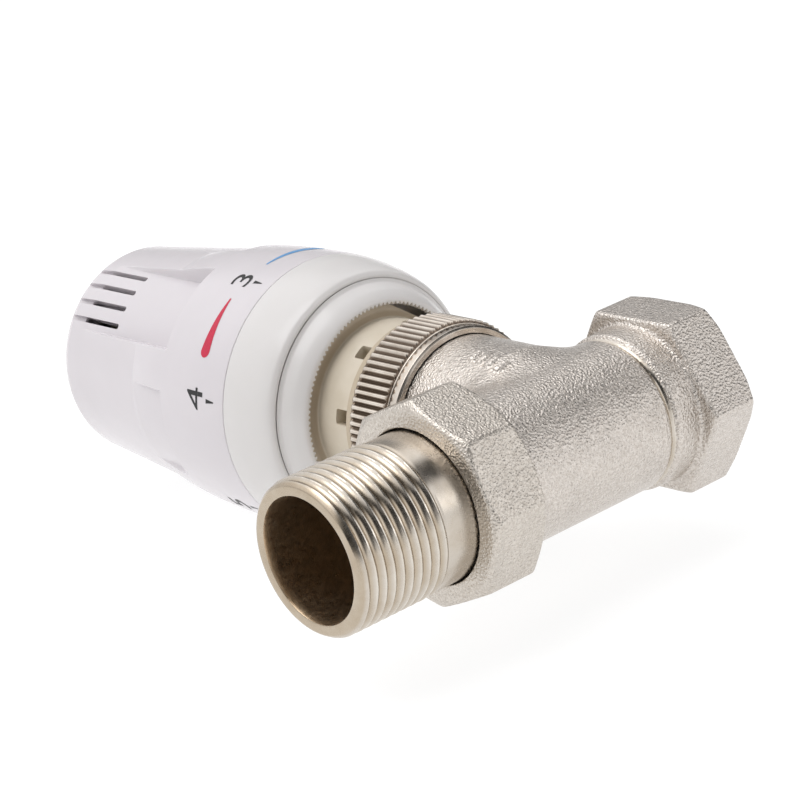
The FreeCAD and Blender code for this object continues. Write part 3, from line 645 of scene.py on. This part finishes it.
def build_valve_body():
    """Casting with its tapped socket, the passages to and from the seat, and the insert's chamber."""
    low = (-SPIGOT_END - 1.2, -17.6, -18.0)
    high = (1.2, NECK_END + 1.2, 18.0)
    piece = to_object("body_casting", *field_mesh(low, high, 0.3, body_field),
                      "valve", ["valve_body"], "cast_nickel", 50.0)
    subtract(piece, helper("socket_tap", threaded_plug()))
    drill(piece, "outlet_bore", "pipe", SOCKET_DEPTH - 0.5, 23.6, PASSAGE_RADIUS)
    drill(piece, "inlet_bore", "pipe", 43.4, SPIGOT_END + 1, PASSAGE_RADIUS)
    drill(piece, "under_seat_bore", "pipe", 25.5, 43.5, UNDER_SEAT_RADIUS, 64)
    drill(piece, "seat_bore", "head", -UNDER_SEAT_RADIUS, CHAMBER_FLOOR + 0.1, SEAT_RADIUS)
    drill(piece, "insert_bore", "head", CHAMBER_FLOOR, NECK_END + 1, CHAMBER_RADIUS)
    finish_mesh(piece, 50.0)
    return piece


def threaded_plug():
    """A plug with the female thread's shape, which cuts the pipe socket."""
    angles = ring_angles(144)
    thread_end = SOCKET_DEPTH - 0.1
    rows = [(-1.0, 13.9), (0.35, 13.25)]
    for along in np.arange(0.45, thread_end, 0.12):
        cut_radius = thread_radius(along, angles, 0.0, 13.15, THREAD_MINOR, 1.0)
        fade = np.clip((thread_end - along) / 1.5, 0.0, 1.0)
        rows.append((along, THREAD_MINOR + (cut_radius - THREAD_MINOR) * fade))
    rows += [(SOCKET_DEPTH, THREAD_MINOR), (SOCKET_DEPTH, 0.02), (-1.0, 0.02)]
    return cylinder_grid(rows, "pipe", angles)


def build_union_nut():
    low = (-NUT_FAR - 1.0, -18.6, -18.6)
    high = (-NUT_NEAR + 1.0, 18.6, 18.6)
    return to_object("octagon_nut", *field_mesh(low, high, 0.26, nut_field),
                     "union_nut", ["union_nut"], "forged_nickel", 50.0)


def build_tailpiece():
    """Tail with its collar, plain neck, helical thread and rounded mouth."""
    angles = ring_angles(240)
    collar_end = 57.6
    collar = [(TAIL_COLLAR, TAIL_BORE, 0.05), (TAIL_COLLAR, COLLAR_RADIUS, 0.4),
              (collar_end, COLLAR_RADIUS, 0.5), (collar_end, TAIL_NECK, 0.4), (65.8, TAIL_NECK, 0.1)]
    # the last corner only closes the outline, and the neck's own rows take its place
    rows = rounded(collar, 0.3)[:-CORNER_POINTS]
    rows += [(along, TAIL_NECK) for along in np.linspace(58.5, 66.2, 10)]
    thread_end = TAIL_END - 1.5
    for along in np.arange(THREAD_START, thread_end, 0.085):
        shape = thread_radius(along, angles, THREAD_START, THREAD_MAJOR, THREAD_ROOT, 2.0)
        rows.append((along, TAIL_NECK + (shape - TAIL_NECK) * ease((along - THREAD_START) / 1.3)))
    for along in np.linspace(thread_end, TAIL_END - 0.05, 14):
        shape = thread_radius(along, angles, THREAD_START, THREAD_MAJOR, THREAD_ROOT, 2.0)
        t = (along - thread_end) / (TAIL_END - thread_end)
        rows.append((along, np.minimum(shape, THREAD_MAJOR - 0.85 * t * t - 0.12 * t)))
    rows += [(TAIL_END, 12.02), (TAIL_END, 11.0), (TAIL_END - 0.12, 10.72), (TAIL_END - 0.5, TAIL_BORE + 0.01)]
    rows += [(along, TAIL_BORE) for along in np.linspace(TAIL_END - 2, TAIL_COLLAR + 0.2, 12)]
    return to_object("tail_spud", *cylinder_grid(rows, "pipe", angles), "valve", ["tailpiece"],
                     "turned_nickel", 42.0)


def refinish_bore(piece, finish, radius, depth):
    """Gives faces near the pipe axis, down to a depth from the socket's face, a finish of their own."""
    piece.data.materials.append(finish)
    for face in piece.data.polygons:
        if math.hypot(face.center.y, face.center.z) < radius * MM and face.center.x > -depth * MM:
            face.material_index = 1


def build_head_nut():
    """Knurled nut: a bevelled lip, a band of ridges and a small bevel at its top."""
    samples = 12
    angles = ring_angles(KNURLS * samples)
    valley = 1.0 - (0.5 + 0.5 * np.cos(2 * np.pi * np.arange(KNURLS * samples) / samples)) ** 0.8
    low, band, top = HEAD_NUT_LOW, KNURL_START, HEAD_NUT_HIGH
    foot = LIP_RADIUS + 0.05
    bevel = 0.5
    lip = [(low, HEAD_NUT_BORE, 0.1), (low, 16.35, 0.1), (low + 0.35, LIP_RADIUS, 0.15),
           (band - 0.15, LIP_RADIUS, 0.1)]
    # the first corner only closes the outline
    rows = rounded(lip, 0.3)[CORNER_POINTS:] + [(band - 0.1, LIP_RADIUS + 0.01)]
    for t in np.linspace(0.0, 1.0, 6):
        rows.append((band + 0.35 * t, foot + (KNURL_RADIUS - foot) * t - KNURL_DEPTH * t * t * valley))
    for along in np.linspace(band + 0.45, top - 0.7, 8):
        rows.append((along, KNURL_RADIUS - KNURL_DEPTH * valley))
    for t in np.linspace(0.0, 1.0, 7):
        angle = t * math.pi / 2
        radius = KNURL_RADIUS - bevel * (1 - math.cos(angle))
        rows.append((top - 0.55 + bevel * math.sin(angle), radius - KNURL_DEPTH * (1 - t) * valley))
    rows += [(top, KNURL_RADIUS - 1.0), (top, HEAD_NUT_BORE), (top - 2.4, HEAD_NUT_BORE),
             (top - 2.4, HEAD_NUT_THREAD), (low + 2.0, HEAD_NUT_THREAD), (low + 0.7, 15.45), (low, 15.5)]
    return to_object("ring_nut", *cylinder_grid(rows, "head", angles), "head_nut", ["head_nut"],
                     "knurled_nickel", 38.0)


# ---------------------------------------------------------------- plastic pieces
def slot_block(name, angle, width, inner, outer, low, high, round_corners=0.0):
    """A block that cuts a slot at an angle about the head axis."""
    c, s = math.cos(math.radians(angle)), math.sin(math.radians(angle))
    half = width / 2
    outline = [(-half, low), (half, low), (half, high), (-half, high)]
    if round_corners:
        outline = rounded(outline, round_corners)
    points, faces = [], []
    for reach in (inner, outer):
        for side, along in outline:
            points.append((HEAD_X + c * reach - s * side, along, s * reach + c * side))
    count = len(outline)
    faces.append(tuple(range(count)))
    faces.append(tuple(range(2 * count - 1, count - 1, -1)))
    for i in range(count):
        j = (i + 1) % count
        faces.append((i, i + count, j + count, j))
    return helper(name, (points, faces))


def build_head_base():
    """Cream base of the sensor head: foot, stepped hub with windows, dished rim and the inner cage."""
    rim = [(BASE_LOW, 11.0), (BASE_LOW, 14.1, 0.2), (29.6, 14.1, 0.2), (29.6, 12.3), (32.8, 12.3, 0.1),
           (32.8, 16.3, 0.35), (34.7, 16.3, 0.35), (34.7, HUB_RADIUS, 0.25), (42.9, HUB_RADIUS, 0.5),
           (44.1, 16.4, 0.9), (44.3, BASE_RIM, 0.2), (45.6, BASE_RIM, 0.3), (45.6, 14.6, 0.3),
           (BASE_TOP, 14.6, 0.3), (BASE_TOP, 13.2, 0.3), (40.5, 13.2, 0.3), (40.5, 2.5, 0.3),
           (38.0, 2.5, 0.3), (38.0, 11.0, 0.3)]
    piece = to_object("sensor_base", *revolve(rounded(rim, 0.15), "head", 240), "valve", ["head_base"],
                      "cream_plastic", 38.0)
    for i in range(WINDOWS):
        angle = 121.0 + 360.0 / WINDOWS * i
        subtract(piece, slot_block("window", angle, 2.7, 10.6, 15.9, 35.0, 38.2, 0.35))
        subtract(piece, slot_block("slit", angle, 1.4, 10.5, 14.7, BASE_LOW - 0.5, 32.0))
    for i in range(CAGE_SLOTS):
        angle = 45.0 + 360.0 / CAGE_SLOTS * i
        subtract(piece, slot_block("cage_slot", angle, 7.0, 12.4, 15.2, 56.0, BASE_TOP + 0.5))
    subtract(piece, slot_block("notch", 54.0, 11.0, 16.6, 20.4, 40.6, 46.0, 0.5))
    finish_mesh(piece, 38.0)
    return piece


def build_serrated_ring():
    """Limiting ring under the index ring, its inner edge a row of small round teeth."""
    samples = 8
    angles = ring_angles(SERRATIONS * samples)
    tooth = 0.5 + 0.5 * np.cos(2 * np.pi * np.arange(SERRATIONS * samples) / samples)
    low, top = LIMIT_LOW, LIMIT_HIGH
    rows = [(low + 0.75, 18.22 - 0.5 * tooth), (low + 0.1, 18.22 - 0.5 * tooth), (low, 18.3 - 0.45 * tooth)]
    face = [(low - 0.02, 18.5), (low + 0.2, 18.95), (low + 0.8, 19.5), (low + 1.8, 20.2), (low + 2.8, 20.72),
            (low + 3.4, 21.0), (low + 3.85, 21.22), (low + 4.15, 21.5), (low + 4.27, 21.85)]
    rows += smooth_curve(face, 7)
    rows += [(low + 4.4, 21.8), (low + 4.7, 21.45), (top, 21.3), (top, 19.9), (43.9, 19.9), (43.2, 18.6),
             (43.0, 18.3)]
    return to_object("limit_ring", *cylinder_grid(rows, "head", angles), "valve", ["serrated_ring"],
                     "white_plastic", 40.0)


def build_index_ring():
    """Fixed outer ring between the limiting ring and the dial seam."""
    crest = [(47.7, 21.5), (47.0, 21.6), (46.62, 21.95), (46.54, 22.15), (46.68, 22.6), (47.4, 23.2),
             (49.2, 23.8), (52.5, 24.42), (55.0, 24.77), (SEAM_HIGH - 0.15, RIM_RADIUS)]
    inside = rounded([(SEAM_HIGH, 24.85, 0.05), (SEAM_HIGH, 22.6, 0.05), (60.0, 22.6, 0.3), (60.0, 21.2, 0.3),
                      (50.2, 21.2, 0.2), (50.2, 14.9, 0.2), (48.0, 14.9, 0.2), (48.0, 21.5, 0.1)], 0.2)
    outline = smooth_curve(crest, 6) + inside
    return to_object("outer_ring", *revolve(outline, "head", 288), "valve", ["index_ring"],
                     "white_plastic", 38.0)


def bulge(t, start, end, rise):
    """A gentle arch from start to end as t runs from 0 to 1."""
    return start + (end - start) * t + 4 * rise * t * (1 - t)


def wheel_radius(along):
    """Outer radius of the handwheel between its recesses: skirt, shoulder and crown."""
    if along < SHOULDER:
        return bulge((along - SEAM_LOW) / (SHOULDER - SEAM_LOW), SKIRT_RADIUS, SHOULDER_RADIUS, SKIRT_RISE)
    if along < CROWN:
        return bulge((along - SHOULDER) / (CROWN - SHOULDER), SHOULDER_RADIUS, CROWN_RADIUS, SHOULDER_RISE)
    return CROWN_RADIUS + (CROWN_END_RADIUS - CROWN_RADIUS) * (along - CROWN) / (CROWN_END - CROWN)


def recess_depth(along, degrees):
    """How far the handwheel's surface is sunk: deep pockets, with shallow panels between them."""
    pitch = 360.0 / RECESSES
    outer = wheel_radius(along)
    depth = 0.0
    panel_radius = PANEL_RADIUS - PANEL_TAPER * (along - PANEL_START)
    for centre, begin, floor in ((POCKET_CENTRE, POCKET_START, POCKET_RADIUS),
                                 (POCKET_CENTRE + pitch / 2, PANEL_START, panel_radius)):
        offset = np.abs((degrees - centre + pitch / 2) % pitch - pitch / 2)
        side = ease((RECESS_HALF - offset) / RECESS_EDGE + 0.5)
        depth = depth + max(outer - floor, 0.0) * ease((along - begin) / 0.45) * side
    return depth


def wheel_angles():
    """Angles round the handwheel in degrees, closer together at the walls of the recesses."""
    angles = set(np.round(np.arange(0.0, 360.0, 1.0), 3))
    for i in range(2 * RECESSES):
        for side in (-RECESS_HALF, RECESS_HALF):
            wall = POCKET_CENTRE + 180.0 / RECESSES * i + side
            angles |= {round(float(a) % 360.0, 3) for a in wall + np.linspace(-0.75, 0.75, 11)}
    return np.array(sorted(angles))


def build_handwheel():
    """Numbered handwheel: smooth skirt, recesses round the shoulder, vented crown and closed end."""
    degrees = wheel_angles()
    rows = [(SEAM_LOW, 22.9)]
    rows += arc_corner((SEAM_LOW, 23.0), np.array((SEAM_LOW, SKIRT_RADIUS)), (SEAM_LOW + 3, 24.98), 0.14)
    heights = np.concatenate([np.linspace(SEAM_LOW + 0.8, 76.3, 30), np.linspace(76.45, 77.6, 20),
                              np.linspace(78.0, 87.6, 33), np.linspace(88.0, 112.3, 70)])
    for along in heights:
        rows.append((along, wheel_radius(along) - recess_depth(along, degrees)))
    end = [(CROWN_END, CROWN_END_RADIUS), (113.3, 19.64), (114.1, 19.14), (114.8, 18.46), (115.5, 17.66),
           (116.15, 16.8), (116.7, 15.95), (117.2, 15.0), (117.6, 13.95), (117.95, 12.5), (118.2, 11.0),
           (118.45, 8.5), (118.66, 5.0), (WHEEL_END, 0.02)]
    rows += smooth_curve(end, 4)
    rows += [(115.4, 0.02), (115.4, 15.7), (62.3, 15.7), (62.0, 16.0), (62.0, 16.7), (62.3, 17.0),
             (113.6, 17.0), (113.0, 18.3), (75.5, 18.8), (72.0, 22.9)]
    piece = to_object("wheel_shell", *cylinder_grid(rows, "head", np.radians(degrees)), "handwheel",
                      ["handwheel"], "white_plastic", 34.0)
    for i in range(RECESSES):
        for k in range(VENTS):
            angle = POCKET_CENTRE + 0.1 + 360.0 / RECESSES * i + (k - (VENTS - 1) / 2) * VENT_STEP
            subtract(piece, slot_block("vent", angle, VENT_WIDTH, 14.9, 25.0, 97.7, 109.8, 0.4))
            subtract(piece, slot_block("vent_groove", angle, VENT_WIDTH, 19.05, 25.0, 109.0, 114.5, 0.3))
    finish_mesh(piece, 34.0)
    return piece


# ---------------------------------------------------------------- printed dial marks
def wrap_mark(name, shape, centre, along, ink):
    """Prints a flat shape's points and faces, in millimetres, on the handwheel at an angle and height."""
    flat_points, flat_faces = shape
    work = bmesh.new()
    verts = [work.verts.new((u, v, 0.0)) for u, v in flat_points]
    for face in flat_faces:
        work.faces.new([verts[i] for i in face])
    bmesh.ops.triangulate(work, faces=work.faces)
    for _ in range(5):
        long_edges = [edge for edge in work.edges if edge.calc_length() > 0.45]
        if long_edges:
            bmesh.ops.subdivide_edges(work, edges=long_edges, cuts=1, use_grid_fill=False)
            bmesh.ops.triangulate(work, faces=work.faces)
    for vert in work.verts:
        height = along + vert.co.y
        radius = wheel_radius(height)
        angle = math.radians(centre) - vert.co.x / radius
        radius += INK_PROUD
        vert.co = (HEAD_X + radius * math.cos(angle), height, radius * math.sin(angle))
        vert.co *= MM
    mesh = bpy.data.meshes.new(name)
    work.to_mesh(mesh)
    work.free()
    mesh.shade_smooth()
    piece = bpy.data.objects.new(name, mesh)
    bpy.context.scene.collection.objects.link(piece)
    piece.data.materials.append(ink)
    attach(piece, "handwheel")


def glyph(text, height, widen):
    """Flat points and faces of a character, centred, height millimetres tall and stretched sideways."""
    curve = bpy.data.curves.new("glyph", "FONT")
    curve.body = text
    curve.size = 1.0
    curve.resolution_u = 10
    item = bpy.data.objects.new("glyph", curve)
    bpy.context.scene.collection.objects.link(item)
    depsgraph = bpy.context.evaluated_depsgraph_get()
    mesh = bpy.data.meshes.new_from_object(item.evaluated_get(depsgraph))
    points = np.array([(v.co.x, v.co.y) for v in mesh.vertices])
    faces = [tuple(p.vertices) for p in mesh.polygons]
    bpy.data.objects.remove(item)
    bpy.data.curves.remove(curve)
    bpy.data.meshes.remove(mesh)
    size = points.max(0) - points.min(0)
    points = (points - (points.max(0) + points.min(0)) / 2) * height / size[1]
    points[:, 0] *= widen
    return points, faces


def tapered_mark(from_angle, to_angle, from_width, to_width):
    """A long mark along the rim that grows from one end to the other, round at its wide end."""
    span = math.radians(to_angle - from_angle) * wheel_radius(64.0)
    side = math.copysign(1.0, span)
    straight = abs(span) - to_width / 2
    outline = [(straight * t, from_width + (to_width - from_width) * t) for t in np.linspace(0.0, 1.0, 16)]
    for angle in np.linspace(8.0, 90.0, 12):
        a = math.radians(angle)
        outline.append((straight + to_width / 2 * math.sin(a), to_width * math.cos(a)))
    points = [(-side * reach, width / 2) for reach, width in outline]
    points += [(-side * reach, -width / 2) for reach, width in outline]
    count = len(outline)
    faces = [(i, i + 1, count + i + 1, count + i) for i in range(count - 1)]
    return points, faces


def print_dial(inks):
    """The dial's star and numbers, each with its wedge, and the long red and blue marks."""
    wedge = [(-0.40, 1.1), (0.40, 1.1), (0.1, -1.1), (-0.1, -1.1)], [(0, 1, 2, 3)]
    for step, (text, label, height) in enumerate([("*", "star", 2.6)] + [(d, d, 4.6) for d in "12345"]):
        angle = DIAL_FIRST + DIAL_STEP * step
        wrap_mark(f"dial_{label}", glyph(text, height, 1.3), angle, DIGIT_AT, inks["black"])
        wrap_mark(f"dial_wedge_{label}", wedge, angle, WEDGE_AT, inks["black"])
    for name, start, end, width, ink in (("dial_warm_mark", 122.6, 149.5, 2.4, "red"),
                                         ("dial_cool_mark", 100.4, 70.0, 2.2, "blue")):
        wrap_mark(name, tapered_mark(start, end, 0.4, width), start, LONG_MARK_AT, inks[ink])


# ---------------------------------------------------------------- build
materials = {
    "cast_nickel": cast_nickel("cast_nickel", 0.40, 0.13, (0.73, 0.68, 0.63)),
    "forged_nickel": cast_nickel("forged_nickel", 0.38, 0.11, (0.71, 0.66, 0.60)),
    "turned_nickel": turned_nickel(),
    "knurled_nickel": knurled_nickel(),
    "white_plastic": white_plastic("white_plastic", (0.705, 0.67, 0.695)),
    "ring_plastic": white_plastic("ring_plastic", (0.735, 0.715, 0.705)),
    "cream_plastic": cream_plastic(),
    "brass": plain_metal("brass", (0.70, 0.52, 0.26), 0.25, 0.3),
    "steel": plain_metal("steel", (0.56, 0.56, 0.57), 0.28, 0.25),
    "capsule_metal": plain_metal("capsule_metal", (0.62, 0.60, 0.56), 0.32, 0.3),
    "seal_rubber": seal_rubber(),
    "tail_bore": plain_metal("tail_bore", (0.62, 0.48, 0.33), 0.34, 0.4),
}
inks = {
    "black": dial_ink("black_ink", (0.004, 0.004, 0.005)),
    "red": dial_ink("red_ink", (0.62, 0.008, 0.055)),
    "blue": dial_ink("blue_ink", (0.13, 0.36, 0.68)),
}

shown = {
    "cast_nickel": [build_valve_body()],
    "forged_nickel": [build_union_nut()],
    "turned_nickel": [build_tailpiece()],
    "knurled_nickel": [build_head_nut()],
    "cream_plastic": [build_head_base()],
    "white_plastic": [build_handwheel()],
    "ring_plastic": [build_serrated_ring(), build_index_ring()],
}
for finish, items in shown.items():
    for item in items:
        item.data.materials.clear()
        item.data.materials.append(materials[finish])
refinish_bore(shown["turned_nickel"][0], materials["tail_bore"], TAIL_BORE + 0.13, TAIL_END)
refinish_bore(shown["cast_nickel"][0], materials["turned_nickel"], 13.3, 24.0)
print_dial(inks)

node_finish = {
    "valve_body": "cast_nickel", "union_nut": "forged_nickel", "tailpiece": "turned_nickel",
    "head_nut": "knurled_nickel", "head_base": "cream_plastic", "serrated_ring": "white_plastic",
    "index_ring": "white_plastic", "handwheel": "white_plastic", "sensor_carrier": "cream_plastic",
    "push_pin": "cream_plastic", "insert_body": "brass", "gland_nut": "brass", "disc_holder": "brass",
    "disc_retainer": "brass", "union_seal": "seal_rubber", "insert_oring": "seal_rubber",
    "spindle_oring": "seal_rubber", "disc_washer": "seal_rubber", "sensor_capsule": "capsule_metal",
    "sensor_pin": "steel", "spindle": "steel", "spindle_clip": "steel", "spring_seat": "steel",
    "return_spring": "steel", "overtravel_spring": "steel", "capsule_clip": "steel",
}
for name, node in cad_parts.items():
    node.data.materials.clear()
    node.data.materials.append(materials[node_finish[name]])


# ---------------------------------------------------------------- floor, light and camera
def build_floor():
    """A plain pale floor that glows a little, so that it stays white under the object."""
    reach = 4.0
    corners = [(-reach, -reach, FLOOR), (reach, -reach, FLOOR), (reach, reach, FLOOR), (-reach, reach, FLOOR)]
    mesh = bpy.data.meshes.new("studio_floor")
    mesh.from_pydata(corners, [], [(0, 1, 2, 3)])
    floor = bpy.data.objects.new("studio_floor", mesh)
    bpy.context.scene.collection.objects.link(floor)
    s = Surface("studio_floor", (0.25, 0.25, 0.25), 0.8)
    s.colour(s.ramp(s.noise(400.0, 2.0), [(0.3, (0.24, 0.24, 0.24)), (0.7, (0.26, 0.26, 0.26))]))
    s.set("Specular IOR Level", 0.0)
    s.set("Emission Color", (1.0, 1.0, 1.0, 1.0)).set("Emission Strength", 0.85)
    mesh.materials.append(s.material)


def softbox(name, at, aim, size, power):
    """A rectangular area light at a place, turned towards a point, with sizes in metres."""
    data = bpy.data.lights.new(name, "AREA")
    data.shape = "RECTANGLE"
    data.size, data.size_y = size
    data.energy = power
    light = bpy.data.objects.new(name, data)
    light.location = at
    light.rotation_euler = (Vector(aim) - Vector(at)).to_track_quat("-Z", "Y").to_euler()
    bpy.context.scene.collection.objects.link(light)


def build_world():
    """A white light tent, brightest overhead, with a dark gap, a dim panel and a dark opening for the lens."""
    world = bpy.data.worlds.new("studio")
    bpy.context.scene.world = world
    world.use_nodes = True
    tree = world.node_tree
    background = tree.nodes["Background"]
    direction = tree.nodes.new("ShaderNodeTexCoord").outputs["Generated"]

    def toward(vector, start, end, low, high, both_ways=False):
        """A level from low to high as the direction nears a vector; start and end are cosines."""
        dot = tree.nodes.new("ShaderNodeVectorMath")
        dot.operation = "DOT_PRODUCT"
        dot.inputs[1].default_value = Vector(vector).normalized()
        tree.links.new(direction, dot.inputs[0])
        cosine = dot.outputs["Value"]
        if both_ways:
            size = tree.nodes.new("ShaderNodeMath")
            size.operation = "ABSOLUTE"
            tree.links.new(cosine, size.inputs[0])
            cosine = size.outputs["Value"]
        span = tree.nodes.new("ShaderNodeMapRange")
        span.interpolation_type = "SMOOTHERSTEP"
        for key, level in (("From Min", start), ("From Max", end), ("To Min", low), ("To Max", high)):
            span.inputs[key].default_value = level
        tree.links.new(cosine, span.inputs["Value"])
        return span.outputs["Result"]

    overhead = toward((0, 0, 1), 0.1, 0.95, 1.0, 1.6)
    gap = toward((0.204, -0.860, -0.469), 0.12, 0.38, 0.04, 1.0, both_ways=True)
    dim_panel = toward((0.62, 0.70, 0.35), 0.86, 0.97, 1.0, 0.40)
    opening = toward((-0.587, -0.740, 0.327), 0.80, 0.97, 1.0, 0.10)
    level = overhead
    for term in (gap, dim_panel, opening):
        product = tree.nodes.new("ShaderNodeMath")
        product.operation = "MULTIPLY"
        tree.links.new(level, product.inputs[0])
        tree.links.new(term, product.inputs[1])
        level = product.outputs["Value"]
    tint = tree.nodes.new("ShaderNodeValToRGB")
    tint.color_ramp.elements[0].color = (0.0, 0.0, 0.0, 1.0)
    tint.color_ramp.elements[1].position = 1.0
    tint.color_ramp.elements[1].color = (1.0, 0.995, 1.0, 1.0)
    # levels reach 1.6 and a ramp ends at 1, so they go in halved
    half = tree.nodes.new("ShaderNodeMath")
    half.operation = "MULTIPLY"
    half.inputs[1].default_value = 0.5
    tree.links.new(level, half.inputs[0])
    tree.links.new(half.outputs["Value"], tint.inputs["Fac"])
    tree.links.new(tint.outputs["Color"], background.inputs["Color"])
    background.inputs["Strength"].default_value = 1.72


def build_camera():
    """The camera of the reference view, in metres in the row frame."""
    data = bpy.data.cameras.new("camera")
    data.sensor_width = 36.0
    data.lens = 129.02
    data.clip_start = 0.01
    data.clip_end = 50.0
    camera = bpy.data.objects.new("camera", data)
    right = Vector((0.74027, -0.65473, -0.15273))
    up = Vector((0.32704, 0.15220, 0.93267))
    back = Vector((-0.58740, -0.74038, 0.32679))
    turn = Matrix((right, up, back)).transposed().to_4x4()
    camera.matrix_world = Matrix.Translation(Vector((-0.32485, -0.33203, 0.16509))) @ turn
    bpy.context.scene.collection.objects.link(camera)
    bpy.context.scene.camera = camera


build_floor()
build_world()
softbox("key", (-0.32, 0.12, 0.88), (-0.03, 0.04, 0.0), (0.5, 0.7), 2.5)
softbox("side", (0.60, -0.83, 0.29), (-0.03, 0.03, 0.0), (0.36, 0.36), 0.40)
build_camera()
scene = bpy.context.scene
scene.view_settings.view_transform = "Standard"
scene.view_settings.look = "None"
scene.view_settings.exposure = 0.0
